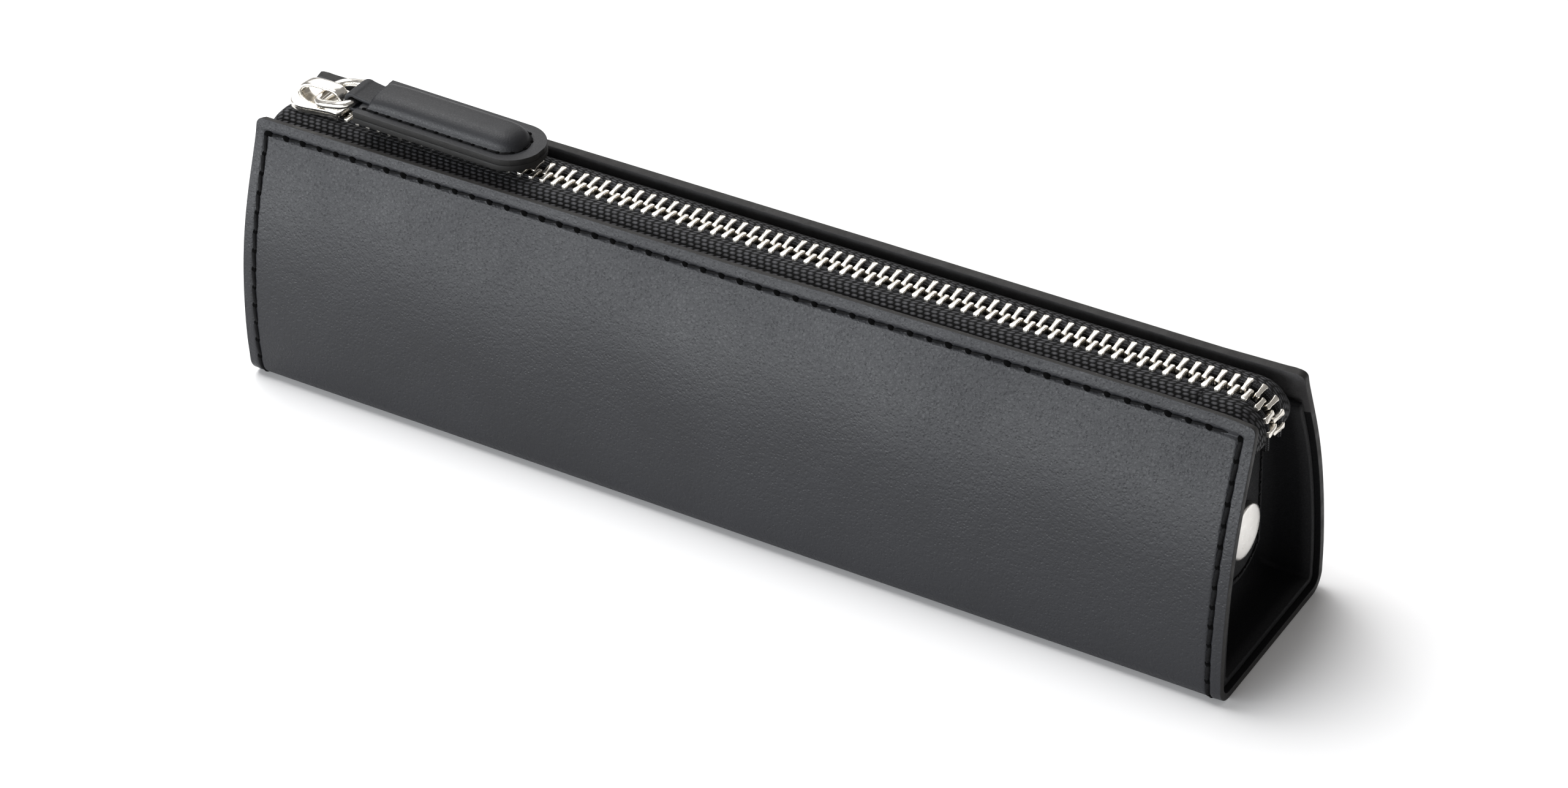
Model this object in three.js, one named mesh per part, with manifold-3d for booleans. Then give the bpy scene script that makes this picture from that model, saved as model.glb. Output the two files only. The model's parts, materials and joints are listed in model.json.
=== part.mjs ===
// A leather fountain pen case: one folded sheet makes the front, base and back, two recessed
// gussets close the ends, and a metal zip closes the top. The right end of the zip curls down
// over the end and a round-ended leather tab holds it to the gusset with a snap.
// Units are millimetres, +X runs along the case, +Z is up and the front faces -Y.

import * as THREE from 'three';
import { mergeVertices } from 'three/addons/utils/BufferGeometryUtils.js';
import Module from 'manifold-3d';

const wasm = await Module();
wasm.setup();

// ---- driving dimensions ----
const HALF_LENGTH = 100;
const HEIGHT = 50.4;
const BASE_HALF_WIDTH = 19.25;
const FOLD_RADIUS = 3.4;
const LEATHER = 1.9;
const TOP_CORNER_RADIUS = 1.2;
// Half width of the bowed side panels at each height, from the top edge down.
const SIDE_SHAPE = [
  [9.4, HEIGHT], [11.3, 44.8], [13.7, 38.5], [15.6, 33.0], [17.1, 27.0],
  [18.3, 20.0], [19.05, 13.0], [19.25, 8.0], [19.25, 4.9],
];

const SEAM_INSET = 2.45;
const GROOVE_WIDTH = 1.1;
const GROOVE_DEPTH = 0.6;
const GROOVE_WALL = 0.1;
const THREAD_WIDTH = 0.7;
const THREAD_TOP = 0.05;
const THREAD_BOTTOM = 0.5;

const GUSSET_FACE_X = 90.2;
const GUSSET_LEATHER = 1.2;
const GUSSET_EDGE_X = 99.4;
const GUSSET_TOP_DROP = 6.5;
const INNER_GAP = 0.3;

const LINING_HALF_LENGTH = 88.6;
const LINING_OFFSET = 3.0;
const LINING = 0.6;

const TAPE = 0.6;
const TAPE_MARGIN_TOP_DROP = 4.5;
const TAPE_MARGIN_BOTTOM_DROP = 12;
// The free tape's half section, from the chain's edge to the seam inside the panel.
const TAPE_SECTION = [[2.75, 49.85], [4.9, 49.7], [6.4, 48.6], [7.5, 46.6]];
const TAPE_LEFT_X = -98.3;
const TAPE_SPLIT_X = 87.5;

const TOOTH_PITCH = 2.356;
const TOOTH_LENGTH = 1.25;
const TOOTH_HEAD = 0.9;
const TOOTH_HEIGHT = 1.8;
const CHAIN_Z = 49.85;
const CHAIN_HALF_WIDTH = 2.65;
const CHAIN_RAIL = 1.9;
const CHAIN_LEFT_X = -91.9;
const HEAD_REACH = 0.35;
const CURL_START_X = 93.2;
const CURL_RADIUS = 5.2;
const TAPE_END_Z = 37.5;

const TAB_X = 92.1;
const TAB_LEATHER = 1.4;
const TAB_HALF_WIDTH = 7.9;
const TAB_TOP_Z = 40;
const SNAP_Z = 21.8;
const TAB_ROUND_RADIUS = 10.5;
const CAP_RADIUS = 5.1;

const SLIDER_LEFT_X = -97.2;
const SLIDER_RIGHT_X = -85.6;
const RING_LEFT_X = -90.9;
const RING_RIGHT_X = -82.9;
const RING_HALF_WIDTH = 4.3;
const RING_WIRE = 0.75;

const PULL_LEFT_X = -80.6;
const PULL_RIGHT_X = -44.2;
const PULL_HALF_WIDTH = 6.2;
const PULL_BOTTOM_Z = 53.0;
const PULL_LAYER = 1.1;
const PILLOW_HALF_WIDTH = 4.0;
const PILLOW_HEIGHT = 2.6;
const PILLOW_RIGHT_X = -47.3;
const PULL_TILT = 0.0216;

// ---- finishes ----
const finish = (color, roughness, metalness) =>
  new THREE.MeshStandardMaterial({ color, roughness, metalness });
const LEATHER_FINISH = finish(0x2b2d33, 0.5, 0);
const LINING_FINISH = finish(0x26221f, 0.9, 0);
const TAPE_FINISH = finish(0x121214, 0.85, 0);
const THREAD_FINISH = finish(0x0c0c0e, 0.7, 0);
const NICKEL_FINISH = finish(0xd9d6cf, 0.22, 1);
const FILLER_FINISH = finish(0x3a3a3a, 0.95, 0);

const model = new THREE.Group();

function piece(name, geometry, material) {
  const mesh = new THREE.Mesh(geometry, material);
  mesh.name = name;
  model.add(mesh);
  return mesh;
}

// ---- solids ----

// A geometry whose triangles enclose a positive volume, with its faces turned outwards.
function outwards(points, faces) {
  let volume = 0;
  const [a, b, c] = [new THREE.Vector3(), new THREE.Vector3(), new THREE.Vector3()];
  for (const f of faces) {
    a.copy(points[f[0]]);
    b.copy(points[f[1]]);
    c.copy(points[f[2]]);
    volume += a.dot(b.cross(c));
  }
  const turned = volume < 0 ? faces.map(([i, j, k]) => [i, k, j]) : faces;
  const geometry = new THREE.BufferGeometry();
  geometry.setAttribute(
    'position',
    new THREE.Float32BufferAttribute(points.flatMap((p) => [p.x, p.y, p.z]), 3),
  );
  geometry.setIndex(turned.flat());
  return geometry;
}

// A closed solid between two skins, each a grid of points with the same rows and columns.
function skinSolid(outer, inner) {
  const rows = outer.length;
  const columns = outer[0].length;
  const points = [...outer.flat(), ...inner.flat()];
  const at = (layer, i, j) => layer * rows * columns + i * columns + j;
  const faces = [];
  const quad = (a, b, c, d) => faces.push([a, b, c], [a, c, d]);
  for (let i = 0; i < rows - 1; i++) {
    for (let j = 0; j < columns - 1; j++) {
      quad(at(0, i, j), at(0, i + 1, j), at(0, i + 1, j + 1), at(0, i, j + 1));
      quad(at(1, i, j), at(1, i, j + 1), at(1, i + 1, j + 1), at(1, i + 1, j));
    }
    const last = columns - 1;
    quad(at(0, i, 0), at(1, i, 0), at(1, i + 1, 0), at(0, i + 1, 0));
    quad(at(0, i, last), at(0, i + 1, last), at(1, i + 1, last), at(1, i, last));
  }
  for (let j = 0; j < columns - 1; j++) {
    const last = rows - 1;
    quad(at(0, 0, j), at(0, 0, j + 1), at(1, 0, j + 1), at(1, 0, j));
    quad(at(0, last, j), at(1, last, j), at(1, last, j + 1), at(0, last, j + 1));
  }
  return outwards(points, faces);
}

// A closed tube whose centreline comes back to its start.
function closedTube(path, radius, sides) {
  const count = path.length;
  const points = [];
  for (let i = 0; i < count; i++) {
    const before = path[(i + count - 1) % count];
    const after = path[(i + 1) % count];
    const along = after.clone().sub(before).normalize();
    const side = new THREE.Vector3(0, 0, 1).cross(along).normalize();
    const up = along.clone().cross(side);
    for (let k = 0; k < sides; k++) {
      const a = (2 * Math.PI * k) / sides;
      points.push(
        path[i].clone()
          .addScaledVector(side, radius * Math.cos(a))
          .addScaledVector(up, radius * Math.sin(a)),
      );
    }
  }
  const faces = [];
  for (let i = 0; i < count; i++) {
    for (let k = 0; k < sides; k++) {
      const n = (i + 1) % count;
      const m = (k + 1) % sides;
      const [a, b, c, d] = [i * sides + k, n * sides + k, n * sides + m, i * sides + m];
      faces.push([a, b, c], [a, c, d]);
    }
  }
  return outwards(points, faces);
}

// A flat outline in X and Y, thickened from z0 to z1.
function slabZ(outline, z0, z1, holes = []) {
  const shape = new THREE.Shape(outline.map(([x, y]) => new THREE.Vector2(x, y)));
  for (const hole of holes)
    shape.holes.push(new THREE.Path(hole.map(([x, y]) => new THREE.Vector2(x, y))));
  const slab = new THREE.ExtrudeGeometry(shape, { depth: z1 - z0, bevelEnabled: false });
  return slab.translate(0, 0, z0);
}

// A flat outline in Y and Z, thickened from x0 to x1.
function slabX(outline, x0, x1, holes = []) {
  const slab = slabZ(outline, x0, x1, holes);
  const turn = new THREE.Matrix4().makeBasis(
    new THREE.Vector3(0, 1, 0),
    new THREE.Vector3(0, 0, 1),
    new THREE.Vector3(1, 0, 0),
  );
  return slab.applyMatrix4(turn);
}

// A flat outline in X and Z, thickened from y0 to y1.
function slabY(outline, y0, y1, holes = []) {
  const slab = slabZ(outline, -y1, -y0, holes);
  return slab.rotateX(Math.PI / 2);
}

function box(x0, x1, y0, y1, z0, z1) {
  const shape = new THREE.BoxGeometry(x1 - x0, y1 - y0, z1 - z0);
  return shape.translate((x0 + x1) / 2, (y0 + y1) / 2, (z0 + z1) / 2);
}

// A turned solid about an axis along X at height z. The profile lists [x, radius].
function turnedX(profile, z, sides) {
  const lathe = new THREE.LatheGeometry(
    profile.map(([x, r]) => new THREE.Vector2(r, x)),
    sides,
  );
  return lathe.rotateZ(-Math.PI / 2).translate(0, 0, z);
}

function toManifold(geometry) {
  const bare = geometry.clone();
  bare.deleteAttribute('normal');
  bare.deleteAttribute('uv');
  const merged = mergeVertices(bare, 1e-4);
  return new wasm.Manifold(
    new wasm.Mesh({
      numProp: 3,
      vertProperties: new Float32Array(merged.attributes.position.array),
      triVerts: new Uint32Array(merged.index.array),
    }),
  );
}

function fromManifold(solid) {
  const mesh = solid.getMesh();
  const geometry = new THREE.BufferGeometry();
  const positions = [];
  for (let i = 0; i < mesh.vertProperties.length; i += mesh.numProp)
    positions.push(...mesh.vertProperties.slice(i, i + 3));
  geometry.setAttribute('position', new THREE.Float32BufferAttribute(positions, 3));
  geometry.setIndex([...mesh.triVerts]);
  return geometry;
}

const joined = (...parts) =>
  fromManifold(parts.map(toManifold).reduce((all, next) => all.add(next)));
const cut = (body, ...tools) =>
  fromManifold(tools.map(toManifold).reduce((left, tool) => left.subtract(tool), toManifold(body)));

// ---- the cross section ----
const sideCurve = new THREE.CatmullRomCurve3(
  SIDE_SHAPE.map(([y, z]) => new THREE.Vector3(0, y, z)),
);
const SIDE_LENGTH = sideCurve.getLength();

// A point of the section, offset inwards. side is -1 for the front half and 1 for the back.
function sidePoint(drop, offset, side) {
  const u = Math.min(drop / SIDE_LENGTH, 1);
  const p = sideCurve.getPointAt(u);
  const t = sideCurve.getTangentAt(u);
  const inward = { y: t.z, z: -t.y };
  return { y: side * (p.y + inward.y * offset), z: p.z + inward.z * offset };
}

function cornerPoint(turn, offset, side) {
  const radius = Math.max(FOLD_RADIUS - offset, 0.8);
  const centreY = BASE_HALF_WIDTH - offset - radius;
  const centreZ = offset + radius;
  const angle = (turn * Math.PI) / 2;
  return {
    y: side * (centreY + radius * Math.cos(angle)),
    z: centreZ - radius * Math.sin(angle),
  };
}

const CORNER_STEPS = 5;

// The half section from a drop below the top edge to the middle of the base.
function halfSection(drops, offset, side) {
  const points = drops.map((d) => ({ ...sidePoint(d, offset, side), drop: d }));
  for (let i = 0; i <= CORNER_STEPS; i++)
    points.push({ ...cornerPoint(i / CORNER_STEPS, offset, side), drop: Infinity });
  return points;
}

// The whole section, from the front top edge round the base to the back top edge.
const fullSection = (drops, offset) => [
  ...halfSection(drops, offset, -1),
  ...halfSection(drops, offset, 1).reverse(),
];

const PANEL_DROPS = [8, 14, 20, 26, 32, 38, 43];

// A curved panel or a whole folded sheet, as a solid between two offsets of a section.
function sheet(sectionAt, columns, outerOffset, innerOffset) {
  const skin = (offset) =>
    sectionAt(offset).map((p) => columns.map((x) => new THREE.Vector3(x, p.y, p.z)));
  return skinSolid(skin(outerOffset), skin(innerOffset));
}

// ---- the folded leather sheet, with a pressed stitching groove ----
function foldedSheet() {
  const halfGroove = GROOVE_WIDTH / 2;
  const seamX = HALF_LENGTH - SEAM_INSET;
  const drops = [
    0, 0.3 * TOP_CORNER_RADIUS, 0.65 * TOP_CORNER_RADIUS, TOP_CORNER_RADIUS,
    SEAM_INSET - halfGroove, SEAM_INSET - halfGroove + GROOVE_WALL,
    SEAM_INSET + halfGroove - GROOVE_WALL, SEAM_INSET + halfGroove, ...PANEL_DROPS,
  ];
  const half = [
    seamX - halfGroove, seamX - halfGroove + GROOVE_WALL,
    seamX + halfGroove - GROOVE_WALL, seamX + halfGroove, HALF_LENGTH,
  ];
  const columns = [...half.map((x) => -x).reverse(), ...half];
  const inGroove = (value, centre) => Math.abs(value - centre) < halfGroove - GROOVE_WALL / 2;
  const grooveAt = (x, drop) => {
    const end = inGroove(Math.abs(x), seamX) && drop > SEAM_INSET - halfGroove;
    const top = inGroove(drop, SEAM_INSET) && Math.abs(x) < seamX + halfGroove - GROOVE_WALL / 2;
    return end || top ? GROOVE_DEPTH : 0;
  };
  const roundedEnd = (x, drop) => {
    if (Math.abs(x) < HALF_LENGTH || drop >= TOP_CORNER_RADIUS) return x;
    const rise = TOP_CORNER_RADIUS - drop;
    const inset = TOP_CORNER_RADIUS - Math.sqrt(TOP_CORNER_RADIUS ** 2 - rise ** 2);
    return Math.sign(x) * (HALF_LENGTH - inset);
  };
  const plain = fullSection(drops, 0);
  const sunk = fullSection(drops, GROOVE_DEPTH);
  const inside = fullSection(drops, LEATHER);
  const outer = plain.map((p, i) =>
    columns.map((x) => {
      const q = grooveAt(x, p.drop) > 0 ? sunk[i] : p;
      return new THREE.Vector3(roundedEnd(x, p.drop), q.y, q.z);
    }),
  );
  const inner = inside.map((p) =>
    columns.map((x) => new THREE.Vector3(roundedEnd(x, p.drop), p.y, p.z)),
  );
  return skinSolid(outer, inner);
}
piece('shell_leather', foldedSheet(), LEATHER_FINISH);

// ---- the lining, between the gussets ----
const liningDrops = [4.6, ...PANEL_DROPS];
piece(
  'lining',
  sheet(
    (offset) => fullSection(liningDrops, offset),
    [-LINING_HALF_LENGTH, LINING_HALF_LENGTH],
    LINING_OFFSET,
    LINING_OFFSET + LINING,
  ),
  LINING_FINISH,
);

// ---- stitching along the panels and round the ends ----
function topThread(side) {
  const halfWidth = THREAD_WIDTH / 2;
  const drops = [SEAM_INSET - halfWidth, SEAM_INSET + halfWidth];
  const end = HALF_LENGTH - SEAM_INSET - GROOVE_WIDTH;
  return sheet(
    (offset) => drops.map((d) => sidePoint(d, offset, side)),
    [-end, end],
    THREAD_TOP,
    THREAD_BOTTOM,
  );
}
function endThread(side) {
  const centre = side * (HALF_LENGTH - SEAM_INSET);
  return sheet(
    (offset) => fullSection([SEAM_INSET, ...PANEL_DROPS], offset),
    [centre - THREAD_WIDTH / 2, centre + THREAD_WIDTH / 2],
    THREAD_TOP,
    THREAD_BOTTOM,
  );
}
piece('front_top_stitching', topThread(-1), THREAD_FINISH);
piece('rear_top_stitching', topThread(1), THREAD_FINISH);
piece('left_end_stitching', endThread(-1), THREAD_FINISH);
piece('right_end_stitching', endThread(1), THREAD_FINISH);

// ---- the end gussets: a flat wall with a flange turned outwards ----
const gussetDrops = [GUSSET_TOP_DROP, ...PANEL_DROPS];
const gussetOffset = LEATHER + INNER_GAP;
function gusset(side) {
  const wall = [side * (GUSSET_FACE_X - GUSSET_LEATHER), side * GUSSET_FACE_X];
  const outline = fullSection(gussetDrops, gussetOffset).map((p) => [p.y, p.z]);
  const flange = sheet(
    (offset) => fullSection(gussetDrops, offset),
    [wall[0], side * GUSSET_EDGE_X].sort((a, b) => a - b),
    gussetOffset,
    gussetOffset + GUSSET_LEATHER,
  );
  return joined(slabX(outline, Math.min(...wall), Math.max(...wall)), flange);
}
const EYELET_HOLE = 2.2;
const SNAP_SIDES = 28;
const eyeletHole = turnedX(
  [
    [GUSSET_FACE_X - 4, 0], [GUSSET_FACE_X - 4, EYELET_HOLE],
    [GUSSET_FACE_X + 2, EYELET_HOLE], [GUSSET_FACE_X + 2, 0],
  ],
  SNAP_Z,
  SNAP_SIDES,
);
piece('left_gusset', gusset(-1), LEATHER_FINISH);
piece('right_gusset', cut(gusset(1), eyeletHole), LEATHER_FINISH);

// ---- the zip tape's margins, sewn inside the panels ----
function tapeMargin(side) {
  const drops = [TAPE_MARGIN_TOP_DROP, 8, TAPE_MARGIN_BOTTOM_DROP];
  return sheet(
    (offset) => drops.map((d) => sidePoint(d, offset, side)),
    [-LINING_HALF_LENGTH, LINING_HALF_LENGTH],
    gussetOffset,
    gussetOffset + 0.5,
  );
}
piece('front_tape_margin', tapeMargin(-1), TAPE_FINISH);
piece('rear_tape_margin', tapeMargin(1), TAPE_FINISH);

// ---- the free part of the tape, which carries the teeth ----
function tapeWeb(side) {
  const skin = (lift) =>
    TAPE_SECTION.map(([y, z], i) => {
      const near = TAPE_SECTION[Math.max(i - 1, 0)];
      const far = TAPE_SECTION[Math.min(i + 1, TAPE_SECTION.length - 1)];
      const run = Math.hypot(far[0] - near[0], far[1] - near[1]);
      const up = [-(far[1] - near[1]) / run, (far[0] - near[0]) / run];
      return [TAPE_LEFT_X, TAPE_SPLIT_X].map(
        (x) => new THREE.Vector3(x, side * (y + up[0] * lift), z + up[1] * lift),
      );
    });
  return skinSolid(skin(TAPE / 2), skin(-TAPE / 2));
}
piece('front_tape_web', tapeWeb(-1), TAPE_FINISH);
piece('rear_tape_web', tapeWeb(1), TAPE_FINISH);

// ---- the chain: interlocking teeth on a corded edge, one comb on each tape ----
function teethComb(side) {
  const first = CHAIN_LEFT_X + (side > 0 ? TOOTH_PITCH / 2 : 0);
  const outline = [[first - 0.6, CHAIN_HALF_WIDTH], [first - 0.6, CHAIN_RAIL]];
  let x = first;
  while (x + TOOTH_PITCH < TAPE_SPLIT_X + 0.6) {
    outline.push([x - TOOTH_LENGTH / 2, CHAIN_RAIL], [x - TOOTH_HEAD / 2, -HEAD_REACH]);
    outline.push([x + TOOTH_HEAD / 2, -HEAD_REACH], [x + TOOTH_LENGTH / 2, CHAIN_RAIL]);
    x += TOOTH_PITCH;
  }
  const end = x - TOOTH_PITCH + TOOTH_LENGTH / 2 + 0.1;
  outline.push([end, CHAIN_RAIL], [end, CHAIN_HALF_WIDTH]);
  const placed = outline.map(([u, v]) => [u, side * v]);
  const comb = slabZ(placed, CHAIN_Z - TOOTH_HEIGHT / 2, CHAIN_Z + TOOTH_HEIGHT / 2);
  return { comb, next: x };
}
const frontChain = teethComb(-1);
const rearChain = teethComb(1);
piece('front_teeth', frontChain.comb, NICKEL_FINISH);
piece('rear_teeth', rearChain.comb, NICKEL_FINISH);

// ---- the closed end of the zip, curling down over the end of the case ----
const CURL_LENGTH = (CURL_RADIUS * Math.PI) / 2;
const CURL_TURNED_X = CURL_START_X + CURL_RADIUS;

// A place on the chain's centreline at a distance s beyond the start of the curl.
function curlPlace(s) {
  if (s <= 0) return { x: CURL_START_X + s, z: CHAIN_Z, turn: 0 };
  const turn = Math.min(s / CURL_RADIUS, Math.PI / 2);
  const x = CURL_START_X + CURL_RADIUS * Math.sin(turn);
  const z = CHAIN_Z - CURL_RADIUS * (1 - Math.cos(turn));
  return { x, z: z - Math.max(s - CURL_LENGTH, 0), turn };
}

// The tape's path runs on below the last tooth and tucks in to lie on the tab.
const TUCK_Z = 41.5;
const TUCK_X = TAB_X + TAB_LEATHER + INNER_GAP + TAPE / 2;
function tapePlace(s) {
  const place = curlPlace(s);
  if (place.z > TUCK_Z) return place;
  const share = Math.min((TUCK_Z - place.z) / (TUCK_Z - TAPE_END_Z), 1);
  const x = CURL_TURNED_X + (TUCK_X - CURL_TURNED_X) * share;
  return { x, z: place.z, turn: Math.PI / 2 + 0.6 };
}

function endTape(side) {
  const start = TAPE_SPLIT_X + INNER_GAP - CURL_START_X;
  const finishS = CURL_LENGTH + (CHAIN_Z - CURL_RADIUS - TAPE_END_Z);
  const stations = [start, 0, 2, 4, 6, CURL_LENGTH];
  for (const z of [43, TUCK_Z + 0.01, 39.5, TAPE_END_Z])
    stations.push(CURL_LENGTH + (CHAIN_Z - CURL_RADIUS - z));
  const skin = (lift) =>
    stations.map((s) => {
      const place = tapePlace(Math.min(s, finishS));
      const level = 1 - Math.min(Math.max(s / CURL_LENGTH, 0), 1);
      const up = { x: Math.sin(place.turn), z: Math.cos(place.turn) };
      return TAPE_SECTION.map(([y, z]) => {
        const drop = (z - CHAIN_Z) * level + lift;
        const reach = y - (y - CHAIN_HALF_WIDTH) * 0.25 * (1 - level);
        return new THREE.Vector3(place.x + up.x * drop, side * reach, place.z + up.z * drop);
      });
    });
  return skinSolid(skin(TAPE / 2), skin(-TAPE / 2));
}
piece('front_tape_end', endTape(-1), TAPE_FINISH);
piece('rear_tape_end', endTape(1), TAPE_FINISH);

const LAST_TOOTH_Z = 43.4;
function endTeeth(side, firstX) {
  const start = firstX - CURL_START_X;
  const finishS = CURL_LENGTH + (CHAIN_Z - CURL_RADIUS - LAST_TOOTH_Z);
  const rail = [];
  const railSteps = 12;
  const corner = (place, v, w) =>
    new THREE.Vector3(
      place.x + Math.sin(place.turn) * w,
      side * v,
      place.z + Math.cos(place.turn) * w,
    );
  for (let i = 0; i <= railSteps; i++)
    rail.push(curlPlace(start - 0.6 + ((finishS - start + 1.2) * i) / railSteps));
  const railSkin = (w) =>
    rail.map((place) => [corner(place, CHAIN_RAIL, w), corner(place, CHAIN_HALF_WIDTH, w)]);
  const parts = [skinSolid(railSkin(0.8), railSkin(-0.8))];
  for (let s = start; s <= finishS; s += TOOTH_PITCH) {
    const place = curlPlace(s);
    const tooth = slabZ(
      [
        [-TOOTH_LENGTH / 2, side * CHAIN_HALF_WIDTH], [-TOOTH_HEAD / 2, -side * HEAD_REACH],
        [TOOTH_HEAD / 2, -side * HEAD_REACH], [TOOTH_LENGTH / 2, side * CHAIN_HALF_WIDTH],
      ],
      -TOOTH_HEIGHT / 2,
      TOOTH_HEIGHT / 2,
    );
    parts.push(tooth.rotateY(place.turn).translate(place.x, 0, place.z));
  }
  return joined(...parts);
}
piece('front_end_teeth', endTeeth(-1, frontChain.next), NICKEL_FINISH);
piece('rear_end_teeth', endTeeth(1, rearChain.next), NICKEL_FINISH);

// ---- top stops, crimped on the tape just inside the slider's mouth ----
const STOP_LEFT_X = -96.7;
const STOP_LENGTH = 1.8;
function topStop(side) {
  const near = side * 1.5;
  const far = side * CHAIN_HALF_WIDTH;
  return box(
    STOP_LEFT_X, STOP_LEFT_X + STOP_LENGTH, Math.min(near, far), Math.max(near, far),
    CHAIN_Z - TOOTH_HEIGHT / 2, CHAIN_Z + TOOTH_HEIGHT / 2,
  );
}
piece('front_top_stop', topStop(-1), NICKEL_FINISH);
piece('rear_top_stop', topStop(1), NICKEL_FINISH);

// ---- the slider: two plates, side flanges, a wedge between the chain halves, a bridge on top ----
const PLATE = 0.9;
const PLATE_GAP = 1.35;
const SHOULDER = 4.6;
const THROAT = 3.7;
const TAPE_SLOT = 0.7;
const FLANGE = 0.8;
const CROWN_HALF_WIDTH = 1.4;
function slider() {
  const outline = [
    [SLIDER_LEFT_X + 0.8, -SHOULDER + 0.9], [SLIDER_LEFT_X + 2, -SHOULDER],
    [SLIDER_LEFT_X + 4, -SHOULDER], [SLIDER_RIGHT_X - 3, -THROAT],
    [SLIDER_RIGHT_X - 0.5, -THROAT], [SLIDER_RIGHT_X, -THROAT + 0.6],
  ];
  const whole = [
    ...outline,
    ...outline.map(([x, y]) => [x, -y]).reverse(),
    [SLIDER_LEFT_X, SHOULDER - 2.2],
    [SLIDER_LEFT_X, -SHOULDER + 2.2],
  ];
  const low = CHAIN_Z - PLATE_GAP;
  const high = CHAIN_Z + PLATE_GAP;
  const parts = [slabZ(whole, low - PLATE, low), slabZ(whole, high, high + PLATE)];
  const flange = outline.slice(1, 5);
  for (const side of [-1, 1]) {
    const strip = [
      ...flange.map(([x, y]) => [x, -side * y]),
      ...flange.map(([x, y]) => [x, -side * (y + FLANGE)]).reverse(),
    ];
    parts.push(slabZ(strip, low - PLATE / 2, CHAIN_Z - TAPE_SLOT));
    parts.push(slabZ(strip, CHAIN_Z + TAPE_SLOT, high + PLATE / 2));
  }
  const wedge = [
    [SLIDER_LEFT_X + 0.2, 0.5], [SLIDER_LEFT_X + 1.4, 1.1],
    [SLIDER_LEFT_X + 2.2, 1.1], [SLIDER_LEFT_X + 4.1, 0],
  ];
  const diamond = [...wedge, ...wedge.map(([x, y]) => [x, -y]).reverse().slice(1)];
  parts.push(slabZ(diamond, low - PLATE / 2, high + PLATE / 2));
  const foot = high + PLATE / 2;
  const crown = [
    [SLIDER_LEFT_X + 0.3, foot], [SLIDER_LEFT_X + 0.3, foot + 1.3],
    [SLIDER_LEFT_X + 1.3, foot + 2.5], [SLIDER_LEFT_X + 3, foot + 3.15],
    [SLIDER_RIGHT_X - 4, foot + 3.35], [SLIDER_RIGHT_X - 2, foot + 3.1],
    [SLIDER_RIGHT_X - 1.1, foot + 1.9], [SLIDER_RIGHT_X - 0.9, foot],
    [SLIDER_RIGHT_X - 2.1, foot], [SLIDER_RIGHT_X - 2.3, foot + 1.2],
    [SLIDER_RIGHT_X - 3, foot + 2.1], [SLIDER_RIGHT_X - 4.5, foot + 2.5],
    [SLIDER_LEFT_X + 3.3, foot + 2.4], [SLIDER_LEFT_X + 2.2, foot + 1.9],
    [SLIDER_LEFT_X + 1.7, foot + 1.1], [SLIDER_LEFT_X + 1.7, foot],
  ];
  parts.push(slabY(crown, -CROWN_HALF_WIDTH, CROWN_HALF_WIDTH));
  return joined(...parts);
}
piece('slider_body', slider(), NICKEL_FINISH);

// ---- the pull ring through the bridge ----
const RING_Z = 53.2;
const RING_RIGHT_Z = 54.8;
function ring() {
  const middleX = (RING_LEFT_X + RING_RIGHT_X) / 2;
  const halfX = (RING_RIGHT_X - RING_LEFT_X) / 2;
  const steps = 28;
  const path = [];
  for (let i = 0; i < steps; i++) {
    const a = (2 * Math.PI * i) / steps;
    const squareness = 0.48;
    const round = (v) => Math.sign(v) * Math.abs(v) ** squareness;
    const x = middleX + halfX * round(Math.cos(a));
    const z = RING_Z + ((RING_RIGHT_Z - RING_Z) * (x - RING_LEFT_X)) / (2 * halfX);
    path.push(new THREE.Vector3(x, RING_HALF_WIDTH * round(Math.sin(a)), z));
  }
  return closedTube(path, RING_WIRE, 8);
}
piece('pull_ring', ring(), NICKEL_FINISH);

// ---- the strap looped round the ring's far bar ----
const STRAP_HALF_WIDTH = 2.8;
const STRAP_LEATHER = 1.0;
function strap() {
  const inner = RING_WIRE + 0.3;
  const outer = inner + STRAP_LEATHER;
  const tailLow = PULL_BOTTOM_Z + PULL_LAYER + INNER_GAP;
  const tailHigh = tailLow + 1.5;
  const arc = (radius, from, to, steps) =>
    Array.from({ length: steps + 1 }, (_, i) => {
      const a = from + ((to - from) * i) / steps;
      return [RING_RIGHT_X + radius * Math.cos(a), RING_RIGHT_Z + radius * Math.sin(a)];
    });
  const outline = [
    ...arc(outer, Math.PI * 0.42, Math.PI * 1.58, 14),
    [PULL_LEFT_X - 0.3, tailLow],
    [PULL_LEFT_X + 4.5, tailLow],
    [PULL_LEFT_X + 4.5, tailHigh],
    [PULL_LEFT_X - 0.3, tailHigh],
  ];
  const hole = arc(inner, 0, Math.PI * 2, 14).slice(0, -1);
  return slabY(outline, -STRAP_HALF_WIDTH, STRAP_HALF_WIDTH, [hole]);
}
piece('pull_strap', strap(), LEATHER_FINISH);

// ---- the padded puller: two leathers stitched round a filler ----
const ROUND_START_X = PULL_RIGHT_X - PULL_HALF_WIDTH;
function pullHalfWidth(x) {
  if (x <= ROUND_START_X) return PULL_HALF_WIDTH;
  return Math.sqrt(Math.max(PULL_HALF_WIDTH ** 2 - (x - ROUND_START_X) ** 2, 0));
}
const bulge = (v) => Math.sqrt(Math.max(1 - v ** 4, 0));
// How far out a place lies on the pillow's plan, 1 at its rounded outline.
const PILLOW_END = 5.6;
function pillowReach(x, y, halfWidth, rightX) {
  const along = Math.max((x - (rightX - PILLOW_END)) / PILLOW_END, 0);
  const across = Math.abs(y) / halfWidth;
  return (along ** 2.4 + across ** 2.4) ** (1 / 2.4);
}
const PULL_STATIONS = [
  PULL_LEFT_X, -76, -70, -62, -56, -53, -51, -49.4, -48.2, -47.3, -46.2, -45.2, -44.6, -44.3,
];
const PULL_ACROSS = [-1, -0.66, -0.63, -0.58, -0.49, -0.35, -0.18, 0];

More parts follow.
